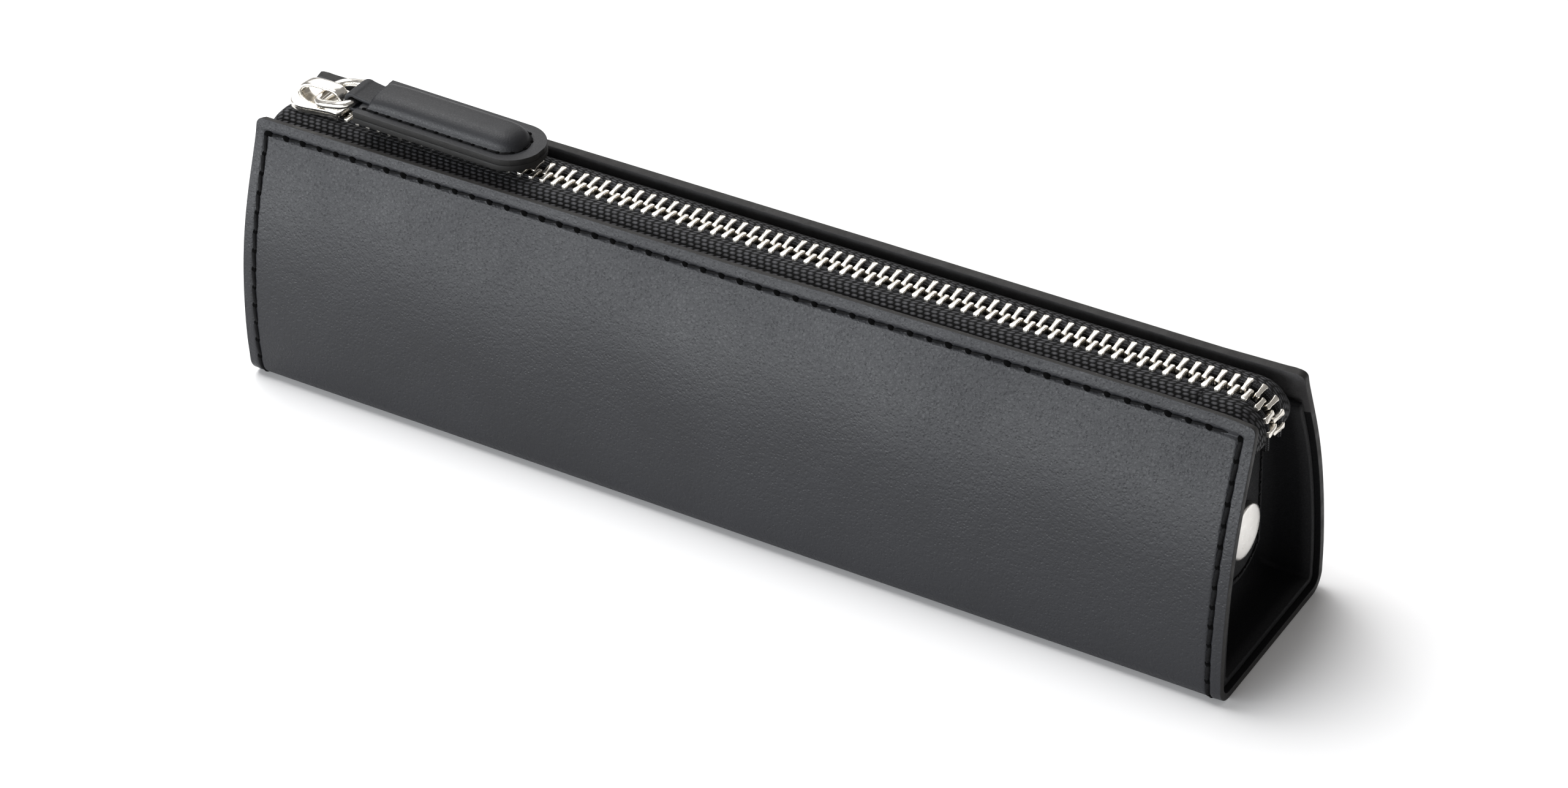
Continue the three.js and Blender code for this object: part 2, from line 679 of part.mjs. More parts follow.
function pullGrid(heightAt) {
  const across = [...PULL_ACROSS, ...PULL_ACROSS.slice(0, -1).map((v) => -v).reverse()];
  return PULL_STATIONS.map((x) =>
    across.map((v) => {
      const y = v * pullHalfWidth(x);
      return new THREE.Vector3(x, y, heightAt(x, y));
    }),
  );
}
const topLayerZ = PULL_BOTTOM_Z + PULL_LAYER + INNER_GAP;
// The puller leans down from its strap towards its rounded end.
const tilted = (geometry) =>
  geometry
    .translate(-PULL_LEFT_X, 0, -PULL_BOTTOM_Z)
    .rotateY(PULL_TILT)
    .translate(PULL_LEFT_X, 0, PULL_BOTTOM_Z);
const pillowOuter = (x, y) =>
  topLayerZ + PULL_LAYER +
  PILLOW_HEIGHT * bulge(pillowReach(x, y, PILLOW_HALF_WIDTH, PILLOW_RIGHT_X));
const CAVITY_HALF_WIDTH = PILLOW_HALF_WIDTH - 0.6;
const CAVITY_RIGHT_X = PILLOW_RIGHT_X - 0.7;
const pillowInner = (x, y) =>
  topLayerZ +
  PILLOW_HEIGHT * bulge(pillowReach(x, y, CAVITY_HALF_WIDTH, CAVITY_RIGHT_X));
piece(
  'puller_top_leather',
  tilted(skinSolid(pullGrid(pillowOuter), pullGrid(pillowInner))),
  LEATHER_FINISH,
);
piece(
  'puller_bottom_leather',
  tilted(
    skinSolid(pullGrid(() => PULL_BOTTOM_Z + PULL_LAYER), pullGrid(() => PULL_BOTTOM_Z)),
  ),
  LEATHER_FINISH,
);

const FILLER_LEFT_X = -75.5;
const FILLER_RIGHT_X = -50;
const FILLER_HALF_WIDTH = 3.0;
function filler() {
  const stations = [FILLER_LEFT_X, -70, -60, -55, -52, FILLER_RIGHT_X];
  const across = [-1, -0.75, -0.4, 0, 0.4, 0.75, 1];
  const grid = (heightAt) =>
    stations.map((x) =>
      across.map((v) => {
        const y = v * FILLER_HALF_WIDTH;
        return new THREE.Vector3(x, y, heightAt(x, y));
      }),
    );
  const top = (x, y) => pillowInner(x, y) - 0.35;
  return skinSolid(grid(top), grid(() => topLayerZ));
}
piece('puller_filler', tilted(filler()), FILLER_FINISH);

// The puller's seam runs round three sides, on the flange beside the pillow.
const PULL_SEAM_GAP = 0.5;
const PULL_THREAD = 0.4;
function pullThread() {
  const middle = PILLOW_HALF_WIDTH + PULL_SEAM_GAP;
  const centreX = PILLOW_RIGHT_X + 2 * PULL_SEAM_GAP - middle;
  const seam = (half) => {
    const points = [[PULL_LEFT_X + 1, -half]];
    for (let i = 0; i <= 12; i++) {
      const a = -Math.PI / 2 + (Math.PI * i) / 12;
      points.push([centreX + half * Math.cos(a), half * Math.sin(a)]);
    }
    points.push([PULL_LEFT_X + 1, half]);
    return points;
  };
  const outline = [
    ...seam(middle + PULL_THREAD / 2),
    ...seam(middle - PULL_THREAD / 2).reverse(),
  ];
  const base = topLayerZ + PULL_LAYER + 0.05;
  return slabZ(outline, base, base + 0.3);
}
piece('puller_stitching', tilted(pullThread()), THREAD_FINISH);

// ---- the end tab and its snap ----
function tabOutline(inset) {
  const half = TAB_HALF_WIDTH - inset;
  const radius = TAB_ROUND_RADIUS - inset;
  const reach = Math.asin(half / radius);
  const points = [];
  for (let i = 0; i <= 14; i++) {
    const a = -reach + (2 * reach * i) / 14;
    points.push([radius * Math.sin(a), SNAP_Z - radius * Math.cos(a)]);
  }
  return points;
}
const TAB_HOLE = 2.0;
function circle(radius, z, sides) {
  return Array.from({ length: sides }, (_, i) => {
    const a = (2 * Math.PI * i) / sides;
    return [radius * Math.cos(a), z + radius * Math.sin(a)];
  });
}
const tabLeather = slabX(
  [...tabOutline(0), [TAB_HALF_WIDTH, TAB_TOP_Z], [-TAB_HALF_WIDTH, TAB_TOP_Z]],
  TAB_X,
  TAB_X + TAB_LEATHER,
  [circle(TAB_HOLE, SNAP_Z, 24)],
);
piece('tab_leather', tabLeather, LEATHER_FINISH);

const TAB_SEAM_INSET = 1.3;
const TAB_STITCH_TOP_Z = 36;
function tabThread() {
  const seam = (inset) => [
    [-TAB_HALF_WIDTH + inset, TAB_STITCH_TOP_Z],
    ...tabOutline(inset),
    [TAB_HALF_WIDTH - inset, TAB_STITCH_TOP_Z],
  ];
  const outline = [...seam(TAB_SEAM_INSET - 0.2), ...seam(TAB_SEAM_INSET + 0.2).reverse()];
  const face = TAB_X + TAB_LEATHER + 0.05;
  return slabX(outline, face, face + 0.25);
}
piece('tab_stitching', tabThread(), THREAD_FINISH);

const tabFace = TAB_X + TAB_LEATHER;
piece(
  'snap_cap',
  turnedX(
    [
      [TAB_X + 0.1, 0], [TAB_X + 0.1, 1.6], [tabFace + 0.05, 1.6], [tabFace + 0.05, CAP_RADIUS],
      [tabFace + 0.85, CAP_RADIUS], [tabFace + 1.15, CAP_RADIUS - 0.6], [tabFace + 1.25, 0],
    ],
    SNAP_Z,
    SNAP_SIDES,
  ),
  NICKEL_FINISH,
);
piece(
  'snap_socket',
  turnedX(
    [
      [TAB_X - 0.05, 0], [TAB_X - 0.3, 0], [TAB_X - 0.3, 1.9], [TAB_X - 1.15, 1.9],
      [TAB_X - 1.15, 3.6], [TAB_X - 0.6, 4.3], [TAB_X - 0.05, 4.3], [TAB_X - 0.05, 0],
    ],
    SNAP_Z,
    SNAP_SIDES,
  ),
  NICKEL_FINISH,
);
piece(
  'snap_stud',
  turnedX(
    [
      [GUSSET_FACE_X + 0.05, 1.2], [GUSSET_FACE_X + 0.05, 4.0], [GUSSET_FACE_X + 0.5, 3.6],
      [GUSSET_FACE_X + 0.6, 1.6], [GUSSET_FACE_X + 1.4, 1.6], [GUSSET_FACE_X + 1.4, 1.2],
      [GUSSET_FACE_X + 0.05, 1.2],
    ],
    SNAP_Z,
    SNAP_SIDES,
  ),
  NICKEL_FINISH,
);
const innerFace = GUSSET_FACE_X - GUSSET_LEATHER;
piece(
  'snap_eyelet',
  turnedX(
    [
      [innerFace - 0.6, 0], [innerFace - 0.6, 4.0], [innerFace - 0.05, 4.0],
      [innerFace - 0.05, 1.0], [GUSSET_FACE_X + 1.2, 1.0], [GUSSET_FACE_X + 1.2, 0],
    ],
    SNAP_Z,
    SNAP_SIDES,
  ),
  NICKEL_FINISH,
);

export default model;
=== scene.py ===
"""Looks of the leather fountain pen case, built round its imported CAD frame."""

import json
import math

import bmesh
import bpy
import numpy as np
from mathutils import Matrix, Vector


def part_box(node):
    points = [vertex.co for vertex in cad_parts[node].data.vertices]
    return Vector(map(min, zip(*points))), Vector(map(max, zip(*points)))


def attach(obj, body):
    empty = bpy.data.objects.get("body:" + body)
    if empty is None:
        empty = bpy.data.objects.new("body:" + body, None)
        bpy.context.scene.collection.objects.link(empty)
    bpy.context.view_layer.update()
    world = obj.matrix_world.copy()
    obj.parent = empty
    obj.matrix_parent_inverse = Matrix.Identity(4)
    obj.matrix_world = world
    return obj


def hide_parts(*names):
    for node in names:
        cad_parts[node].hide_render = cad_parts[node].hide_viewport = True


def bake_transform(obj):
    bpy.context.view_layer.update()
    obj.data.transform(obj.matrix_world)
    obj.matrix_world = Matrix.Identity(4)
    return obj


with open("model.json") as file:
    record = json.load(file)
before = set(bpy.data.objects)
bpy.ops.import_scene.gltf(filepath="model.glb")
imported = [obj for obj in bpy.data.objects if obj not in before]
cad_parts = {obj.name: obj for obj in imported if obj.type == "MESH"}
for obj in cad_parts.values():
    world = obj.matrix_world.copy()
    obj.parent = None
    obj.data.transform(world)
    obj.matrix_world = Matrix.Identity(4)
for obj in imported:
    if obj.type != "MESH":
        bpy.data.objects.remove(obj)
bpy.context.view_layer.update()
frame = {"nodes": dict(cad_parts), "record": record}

MM = 0.001
rng = np.random.default_rng(7)


def unit(v):
    return v / np.linalg.norm(v)


def run_length(points):
    """The distance along a path at each of its points."""
    steps = np.linalg.norm(np.diff(np.asarray(points, float), axis=0), axis=1)
    return np.concatenate([[0], np.cumsum(steps)])


def mm_box(node):
    low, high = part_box(node)
    return np.array(low) / MM, np.array(high) / MM


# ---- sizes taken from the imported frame, in millimetres ----
HALF_LENGTH, BASE_HALF_WIDTH, HEIGHT = mm_box("shell_leather")[1]
SPLIT_X = mm_box("rear_tape_web")[1][0]
slider_low, slider_high = mm_box("slider_body")
ring_low, ring_high = mm_box("pull_ring")
strap_low, strap_high = mm_box("pull_strap")
puller_low, puller_high = mm_box("puller_top_leather")
under_low, under_high = mm_box("puller_bottom_leather")
tab_low, tab_high = mm_box("tab_leather")
cap_low, cap_high = mm_box("snap_cap")
teeth_low, teeth_high = mm_box("front_teeth")
lining_low, lining_high = mm_box("lining")

LEATHER = 1.9
FOLD_RADIUS = 3.4
CORNER_RADIUS = 1.2
SEAM_INSET = 2.45
STITCH_PITCH = 3.7
# Half width of the bowed sides at each height, from the top edge down.
SIDE_SHAPE = [
    (9.4, 50.4), (11.3, 44.8), (13.7, 38.5), (15.6, 33.0), (17.1, 27.0),
    (18.3, 20.0), (19.05, 13.0), (19.25, 8.0), (19.25, 4.9),
]
CHAIN_Z = (teeth_low[2] + teeth_high[2]) / 2
CHAIN_HALF_WIDTH = 2.65
CORD_Y = 2.25
TOOTH_PITCH = 2.356
FIRST_TOOTH_X = teeth_low[0] + 0.6
CURL_START_X = 93.2
CURL_RADIUS = 5.2
SNAP_Z = (cap_low[2] + cap_high[2]) / 2


# ---- camera ----
def add_camera():
    azimuth, elevation, roll = math.radians(32.633), math.radians(35.047), math.radians(-2.093)
    back = Vector((
        math.sin(azimuth) * math.cos(elevation),
        -math.cos(azimuth) * math.cos(elevation),
        math.sin(elevation),
    ))
    right = (-back).cross(Vector((0, 0, 1))).normalized()
    up = right.cross(-back)
    x_axis = math.cos(roll) * right + math.sin(roll) * up
    y_axis = -math.sin(roll) * right + math.cos(roll) * up
    place = Vector((4.629, 0, 19.101)) * MM + back * 0.748385
    data = bpy.data.cameras.new("camera")
    data.sensor_width = 36
    data.lens = 98.02
    data.clip_start = 0.01
    data.clip_end = 20
    camera = bpy.data.objects.new("camera", data)
    bpy.context.scene.collection.objects.link(camera)
    turn = Matrix((x_axis, y_axis, back)).transposed()
    camera.matrix_world = Matrix.Translation(place) @ turn.to_4x4()
    bpy.context.scene.camera = camera


add_camera()


# ---- materials ----
class Nodes:
    """A short way to write a material's node tree."""

    def __init__(self, name):
        self.material = bpy.data.materials.new(name)
        self.material.use_nodes = True
        self.tree = self.material.node_tree
        self.shader = self.tree.nodes["Principled BSDF"]

    def add(self, kind, **settings):
        node = self.tree.nodes.new(kind)
        for key, value in settings.items():
            if key in node.inputs:
                node.inputs[key].default_value = value
            else:
                setattr(node, key, value)
        return node

    def link(self, a, b):
        self.tree.links.new(a, b)

    def math(self, operation, a, b=None, c=None):
        node = self.add("ShaderNodeMath", operation=operation)
        for i, value in enumerate((a, b, c)):
            if value is None:
                continue
            if isinstance(value, (int, float)):
                node.inputs[i].default_value = value
            else:
                self.link(value, node.inputs[i])
        return node.outputs[0]

    def ramp(self, value, stops):
        node = self.add("ShaderNodeValToRGB")
        ramp = node.color_ramp
        while len(ramp.elements) < len(stops):
            ramp.elements.new(0.5)
        for element, (position, color) in zip(ramp.elements, stops):
            element.position = position
            element.color = (*color, 1) if len(color) == 3 else color
        self.link(value, node.inputs[0])
        return node.outputs[0]

    def grey_ramp(self, value, low, high, start=0.0, end=1.0):
        node = self.add("ShaderNodeMapRange")
        self.link(value, node.inputs["Value"])
        node.inputs["From Min"].default_value = start
        node.inputs["From Max"].default_value = end
        node.inputs["To Min"].default_value = low
        node.inputs["To Max"].default_value = high
        return node.outputs[0]

    def bump(self, height, distance, strength=1.0, normal=None):
        node = self.add("ShaderNodeBump", Distance=distance, Strength=strength)
        self.link(height, node.inputs["Height"])
        if normal is not None:
            self.link(normal, node.inputs["Normal"])
        return node.outputs[0]

    def place(self):
        return self.add("ShaderNodeTexCoord").outputs["Object"]

    def noise(self, vector, scale, detail=3.0, roughness=0.55):
        node = self.add("ShaderNodeTexNoise", Scale=scale, Detail=detail, Roughness=roughness)
        self.link(vector, node.inputs["Vector"])
        return node.outputs[0]

    def voronoi(self, vector, scale, feature="F1"):
        node = self.add("ShaderNodeTexVoronoi", Scale=scale)
        node.feature = feature
        self.link(vector, node.inputs["Vector"])
        return node.outputs["Distance"]

    def drive(self, **sources):
        """Links outputs to the shader's sockets."""
        for key, source in sources.items():
            self.link(source, self.shader.inputs[key.replace("_", " ")])

    def tint(self, value, base, *stops):
        """Drives the base colour from darker and lighter shades of one colour."""
        shades = [(position, tuple(c * share for c in base)) for position, share in stops]
        self.drive(Base_Color=self.ramp(value, shades))

    def set(self, **values):
        for key, value in values.items():
            self.shader.inputs[key.replace("_", " ")].default_value = value


def leather(name, base, roughness, grain=1.0, scale=1.0, level=0.5):
    """Smooth dyed cowhide: fine creased grain with pores, uneven sheen and faint handling marks."""
    n = Nodes(name)
    where = n.place()
    bend = n.add("ShaderNodeTexNoise", Scale=900.0 * scale, Detail=2.0)
    n.link(where, bend.inputs["Vector"])
    warp = n.add("ShaderNodeVectorMath", operation="MULTIPLY_ADD")
    n.link(bend.outputs["Color"], warp.inputs[0])
    warp.inputs[1].default_value = (0.0007, 0.0007, 0.0007)
    n.link(where, warp.inputs[2])
    cells = n.voronoi(warp.outputs[0], 2300.0 * scale, "SMOOTH_F1")
    creases = n.grey_ramp(n.voronoi(warp.outputs[0], 1700.0 * scale, "DISTANCE_TO_EDGE"),
                          0.0, 1.0, 0.0, 0.3)
    wrinkle = n.noise(where, 1150.0 * scale, 4.0, 0.7)
    pores = n.grey_ramp(n.voronoi(where, 1750.0 * scale), 0.0, 1.0, 0.1, 0.4)
    patch = n.noise(where, 38.0, 4.0, 0.6)
    broad = n.noise(where, 13.0, 2.0, 0.5)
    height = n.math("MULTIPLY_ADD", cells, 0.3, n.math("MULTIPLY", creases, 0.06))
    height = n.math("MULTIPLY_ADD", wrinkle, 0.8, height)
    height = n.math("MULTIPLY_ADD", pores, 0.3, height)
    height = n.math("MULTIPLY", height, n.grey_ramp(patch, 0.55, 1.0, 0.3, 0.7))
    normal = n.bump(broad, 0.0016, 0.3)
    normal = n.bump(patch, 0.0003, 0.35, normal)
    normal = n.bump(height, 0.00012 * grain, 0.8, normal)
    rough = n.math("ADD", n.grey_ramp(patch, roughness - 0.04, roughness + 0.06, 0.25, 0.75),
                   n.grey_ramp(creases, 0.08, -0.02))
    n.drive(Normal=normal, Roughness=rough)
    tone = n.math("MULTIPLY_ADD", broad, 0.4, n.math("MULTIPLY", patch, 0.6))
    tone = n.math("MULTIPLY_ADD", pores, 0.12, tone)
    n.tint(tone, base, (0.3, 0.75), (0.8, 1.3))
    n.set(Specular_IOR_Level=level)
    return n.material


def raw_edge(name, base, roughness=0.6):
    """The cut edge of the leather, dyed and burnished, with its fibres just showing."""
    n = Nodes(name)
    where = n.place()
    fibres = n.noise(where, 3800.0, 4.0, 0.7)
    streaks = n.noise(where, 420.0, 3.0, 0.6)
    mix = n.math("ADD", n.math("MULTIPLY", fibres, 0.5), n.math("MULTIPLY", streaks, 0.5))
    n.tint(mix, base, (0.3, 0.6), (0.7, 1.35))
    n.drive(Normal=n.bump(mix, 0.00012, 0.7),
            Roughness=n.grey_ramp(streaks, roughness - 0.1, roughness + 0.12, 0.3, 0.7))
    n.set(Specular_IOR_Level=0.25)
    return n.material


def suede(name, base):
    """Matt suede: a fine nap, with clouds where it is brushed."""
    n = Nodes(name)
    where = n.place()
    nap = n.noise(where, 2600.0, 4.0, 0.7)
    cloud = n.noise(where, 60.0, 3.0, 0.6)
    n.drive(Normal=n.bump(nap, 0.00015, 0.8))
    n.tint(cloud, base, (0.3, 0.7), (0.7, 1.4))
    n.set(Roughness=0.95, Specular_IOR_Level=0.2, Sheen_Weight=0.35, Sheen_Roughness=0.4)
    return n.material


def woven_tape(name, base):
    """Herringbone zip tape of small raised knots, coloured lighter on the knots as painted highlights
    and near-black between them as painted shade. U runs along the tape and V across it, in mm.
    """
    n = Nodes(name)
    uv = n.add("ShaderNodeUVMap", uv_map="weave").outputs[0]
    split = n.add("ShaderNodeSeparateXYZ")
    n.link(uv, split.inputs[0])
    u, v = split.outputs[0], split.outputs[1]
    row_pitch, knot_pitch = 0.7, 1.42
    row = n.math("DIVIDE", v, row_pitch)
    zigzag = n.math("PINGPONG", row, 3.0)
    along = n.math("DIVIDE", n.math("MULTIPLY_ADD", zigzag, 0.42, u), knot_pitch)
    du = n.math("SUBTRACT", n.math("FRACT", along), 0.5)
    dv = n.math("SUBTRACT", n.math("FRACT", row), 0.5)
    skewed = n.math("MULTIPLY_ADD", dv, 0.35, du)
    reach = n.math("ADD", n.math("POWER", n.math("ABSOLUTE", n.math("MULTIPLY", skewed, 2.25)), 2.0),
                   n.math("POWER", n.math("ABSOLUTE", n.math("MULTIPLY", dv, 2.15)), 2.0))
    knot = n.math("SQRT", n.math("MAXIMUM", n.math("SUBTRACT", 1.0, reach), 0.0))
    where = n.place()
    fuzz = n.noise(where, 5200.0, 3.0, 0.7)
    uneven = n.noise(where, 700.0, 2.0, 0.6)
    height = n.math("MULTIPLY", knot, n.grey_ramp(uneven, 0.6, 1.1, 0.3, 0.7))
    height = n.math("MULTIPLY_ADD", fuzz, 0.25, height)
    # Painted light: the colour rises from 0.04 to 3.6 times the base with knot height, a painted
    # highlight on each knot and painted shade in the gaps between knots.
    n.tint(height, base, (0.2, 0.04), (0.55, 1.0), (1.0, 3.6))
    n.drive(Normal=n.bump(height, 0.0003, 1.0), Roughness=n.grey_ramp(knot, 1.0, 0.5))
    n.set(Specular_IOR_Level=0.32)
    return n.material


def waxed_thread(name, base):
    """Dull black thread with its plies just showing."""
    n = Nodes(name)
    ply = n.noise(n.place(), 2400.0, 3.0, 0.65)
    n.drive(Normal=n.bump(ply, 0.0001, 0.9))
    n.tint(ply, base, (0.35, 0.6), (0.7, 1.8))
    n.set(Roughness=0.75, Specular_IOR_Level=0.1)
    return n.material


def painted_hole_shade(name):
    """Painted shade: a near-black colour standing in for the unlit depth of a stitch hole."""
    n = Nodes(name)
    depth = n.noise(n.place(), 1800.0, 2.0, 0.5)
    n.tint(depth, (0.001, 0.001, 0.00105), (0.3, 0.6), (0.7, 1.6))
    n.set(Roughness=1.0, Specular_IOR_Level=0.05)
    return n.material


def nickel(name, color, roughness):
    """Polished nickel plating with faint handling scratches and a slight warm cast."""
    n = Nodes(name)
    where = n.place()
    haze = n.noise(where, 900.0, 4.0, 0.65)
    pits = n.noise(where, 300.0, 2.0, 0.5)
    n.drive(Roughness=n.grey_ramp(haze, roughness - 0.05, roughness + 0.1, 0.3, 0.75),
            Normal=n.bump(haze, 0.00001, 0.3, n.bump(pits, 0.00006, 0.15)))
    n.tint(pits, color, (0.3, 0.93), (0.7, 1.0))
    n.set(Metallic=1.0)
    return n.material


BLACK = (0.0088, 0.0092, 0.0112)
MATERIALS = {
    "leather": leather("case_leather", BLACK, 0.4, 1.6, 0.9, 0.27),
    "flesh": leather("flesh_side", tuple(c * 0.3 for c in BLACK), 0.8, 1.0, 1.0, 0.15),
    "gusset": leather("gusset_leather", tuple(c * 0.45 for c in BLACK), 0.66, 0.9, 1.0, 0.2),
    "pull": leather("pull_leather", BLACK, 0.46, 0.5, 1.3, 0.32),
    "strap": leather("strap_leather", BLACK, 0.55, 0.5, 1.3, 0.35),
    "edge": raw_edge("cut_edge", (0.017, 0.0160, 0.0155)),
    "pull_edge": raw_edge("painted_edge", (0.007, 0.0066, 0.0062), 0.6),
    # Painted sheen: a paler edge colour, about five times the skin's, for the inner face just below
    # the top edges.
    "lip": raw_edge("inner_lip_painted_sheen", (0.045, 0.044, 0.045), 0.75),
    "lining": suede("lining_suede", (0.012, 0.011, 0.010)),
    "tape": woven_tape("zip_tape_painted_knot_light", (0.0120, 0.0120, 0.0135)),
    "thread": waxed_thread("seam_thread", (0.0030, 0.0030, 0.0034)),
    "hole": painted_hole_shade("stitch_hole_painted_shade"),
    "nickel": nickel("bright_nickel", (0.83, 0.80, 0.745), 0.18),
    "teeth": nickel("tooth_nickel", (0.88, 0.84, 0.77), 0.24),
    "plate": nickel("snap_nickel", (0.84, 0.82, 0.785), 0.3),
}


# ---- mesh helpers, all in millimetres ----
def make_mesh(name, points, faces, materials, face_material=None, smooth=True, uv=None):
    mesh = bpy.data.meshes.new(name)
    mesh.from_pydata([tuple(p) for p in np.asarray(points, float) * MM], [], faces)
    for key in materials:
        mesh.materials.append(MATERIALS[key])
    if face_material is not None:
        mesh.polygons.foreach_set("material_index", face_material)
    mesh.polygons.foreach_set("use_smooth", [smooth] * len(mesh.polygons))
    if uv is not None:
        layer = mesh.uv_layers.new(name="weave")
        loops = np.zeros(len(mesh.loops), int)
        mesh.loops.foreach_get("vertex_index", loops)
        layer.data.foreach_set("uv", np.asarray(uv, float)[loops].ravel())
    mesh.validate()
    mesh.update()
    piece = bpy.data.objects.new(name, mesh)
    bpy.context.scene.collection.objects.link(piece)
    return piece


def sheet_between(outer, inner):
    """Points, faces and a rim flag for each face, of the solid between two grids."""
    outer, inner = np.asarray(outer, float), np.asarray(inner, float)
    rows, columns = outer.shape[:2]
    points = np.concatenate([outer.reshape(-1, 3), inner.reshape(-1, 3)])
    index = np.arange(rows * columns).reshape(rows, columns)
    under = index + rows * columns
    faces, rim = [], []

    def add(a, b, c, d, flag):
        for quad in zip(a.ravel(), b.ravel(), c.ravel(), d.ravel()):
            faces.append(tuple(int(i) for i in quad))
            rim.append(flag)

    add(index[:-1, :-1], index[1:, :-1], index[1:, 1:], index[:-1, 1:], 0)
    add(under[:-1, :-1], under[:-1, 1:], under[1:, 1:], under[1:, :-1], 0)
    add(index[:-1, 0], under[:-1, 0], under[1:, 0], index[1:, 0], 1)
    add(index[:-1, -1], index[1:, -1], under[1:, -1], under[:-1, -1], 1)
    add(index[0, :-1], index[0, 1:], under[0, 1:], under[0, :-1], 1)
    add(index[-1, :-1], under[-1, :-1], under[-1, 1:], index[-1, 1:], 1)
    return points, faces, rim


def face_outwards(piece):
    """Turns the faces of a closed mesh outwards."""
    work = bmesh.new()
    work.from_mesh(piece.data)
    bmesh.ops.recalc_face_normals(work, faces=work.faces)
    work.to_mesh(piece.data)
    work.free()
    return piece


def apply_modifiers(piece):
    graph = bpy.context.evaluated_depsgraph_get()
    done = bpy.data.meshes.new_from_object(piece.evaluated_get(graph))
    piece.modifiers.clear()
    old = piece.data
    piece.data = done
    bpy.data.meshes.remove(old)
    return piece


def bevel(piece, width, segments=3, angle=35.0):
    modifier = piece.modifiers.new("round", "BEVEL")
    modifier.width = width * MM
    modifier.segments = segments
    modifier.limit_method = "ANGLE"
    modifier.angle_limit = math.radians(angle)
    modifier.harden_normals = False
    apply_modifiers(piece)
    piece.data.polygons.foreach_set("use_smooth", [True] * len(piece.data.polygons))
    return piece


def merge(name, pieces):
    """Joins pieces into one object of the given name."""
    bpy.ops.object.select_all(action="DESELECT")
    for piece in pieces:
        piece.select_set(True)
    bpy.context.view_layer.objects.active = pieces[0]
    bpy.ops.object.join()
    whole = bpy.context.view_layer.objects.active
    whole.name = whole.data.name = name
    return whole


def ring_faces(count, sides, closed=False):
    """Quads between rings of points, each ring joined to the next."""
    faces = []
    for i in range(count if closed else count - 1):
        near, far = i * sides, (i + 1) % count * sides
        for k in range(sides):
            m = (k + 1) % sides
            faces.append((near + k, far + k, far + m, near + m))
    return faces


def capped_faces(count, sides):
    """The same, with a flat face at each end."""
    last = (count - 1) * sides
    return ring_faces(count, sides) + [tuple(range(sides))[::-1], tuple(range(last, last + sides))]


def tube(path, radii, sides=10, closed=False, flat=1.0, up=(0, 0, 1)):
    """Points and faces of a tube along a path. Radii may change along it."""
    path = np.asarray(path, float)
    count = len(path)
    radii = np.broadcast_to(np.asarray(radii, float), (count,))
    if closed:
        along = np.roll(path, -1, 0) - np.roll(path, 1, 0)
    else:
        along = np.gradient(path, axis=0)
    along /= np.linalg.norm(along, axis=1)[:, None]
    side = np.cross(np.broadcast_to(np.array(up, float), along.shape), along)
    length = np.linalg.norm(side, axis=1)
    side[length < 1e-6] = (1, 0, 0)
    side /= np.linalg.norm(side, axis=1)[:, None]
    top = np.cross(along, side)
    turn = 2 * np.pi * np.arange(sides) / sides
    points = (
        path[:, None]
        + side[:, None] * (np.cos(turn)[None, :, None] * radii[:, None, None])
        + top[:, None] * (np.sin(turn)[None, :, None] * radii[:, None, None] * flat)
    ).reshape(-1, 3)
    return points, ring_faces(count, sides, True) if closed else capped_faces(count, sides)


class Gathered:
    """Many small solids collected into one mesh."""

    def __init__(self):
        self.points, self.faces, self.kinds, self.count = [], [], [], 0

    def add(self, points, faces, material=0):
        self.points.append(np.asarray(points, float))
        self.faces.extend(tuple(i + self.count for i in face) for face in faces)
        self.kinds.extend([material] * len(faces))
        self.count += len(points)

    def piece(self, name, *materials):
        return make_mesh(name, np.concatenate(self.points), self.faces, materials, self.kinds)


def slab(name, outline, low, high, axes, material):
    """A flat outline thickened along one axis. axes gives where outline x, outline y and depth go."""
    work = bmesh.new()
    ring = [work.verts.new((x, y, 0)) for x, y in outline]
    edges = [work.edges.new(pair) for pair in zip(ring, ring[1:] + ring[:1])]
    bmesh.ops.triangle_fill(work, use_beauty=True, use_dissolve=True, edges=edges)
    made = bmesh.ops.extrude_face_region(work, geom=list(work.faces))
    for v in made["geom"]:
        if isinstance(v, bmesh.types.BMVert):
            v.co.z = high - low
    bmesh.ops.recalc_face_normals(work, faces=work.faces)
    mesh = bpy.data.meshes.new(name)
    work.to_mesh(mesh)
    work.free()
    flat = np.array([v.co for v in mesh.vertices], float).reshape(-1, 3)
    flat[:, 2] += low
    placed = np.zeros_like(flat)
    for i, axis in enumerate(axes):
        placed[:, axis] = flat[:, i]
    mesh.vertices.foreach_set("co", (placed * MM).ravel())
    mesh.materials.append(MATERIALS[material])
    mesh.update()
    piece = bpy.data.objects.new(name, mesh)
    bpy.context.scene.collection.objects.link(piece)
    face_outwards(piece)
    return piece


# ---- the case's section ----
side_z = np.array([z for _, z in SIDE_SHAPE])
side_y = np.array([y for y, _ in SIDE_SHAPE])
SIDE_FIT = np.polyfit(side_z, side_y, 5)
SIDE_SLOPE = np.polyder(SIDE_FIT)
fine_z = np.linspace(HEIGHT, 4.9, 600)
fine_y = np.polyval(SIDE_FIT, fine_z)
fine_length = run_length(np.column_stack([fine_y, fine_z]))
SIDE_LENGTH = fine_length[-1]


def side_point(drop, offset):
    z = np.interp(drop, fine_length, fine_z)
    y = np.polyval(SIDE_FIT, z)
    slope = np.polyval(SIDE_SLOPE, z)
    run = math.hypot(1, slope)
    return y - offset / run, z + offset * slope / run


def section(drops, offset, corner_steps=10, base_steps=6):
    """Front top edge, down, round the base and up to the back top edge, as (y, z, drop) rows."""
    radius = max(FOLD_RADIUS - offset, 0.8)
    centre_y = BASE_HALF_WIDTH - offset - radius
    rows = [(*side_point(d, offset), d) for d in drops]
    far = SIDE_LENGTH + 10
    for i in range(corner_steps + 1):
        a = math.pi / 2 * i / corner_steps
        rows.append((centre_y + radius * math.cos(a), offset + radius - radius * math.sin(a), far))
    for i in range(1, base_steps + 1):
        rows.append((centre_y * (1 - i / base_steps), offset, far))
    front = [(-y, z, d) for y, z, d in rows]
    return np.array(front + rows[:-1][::-1])


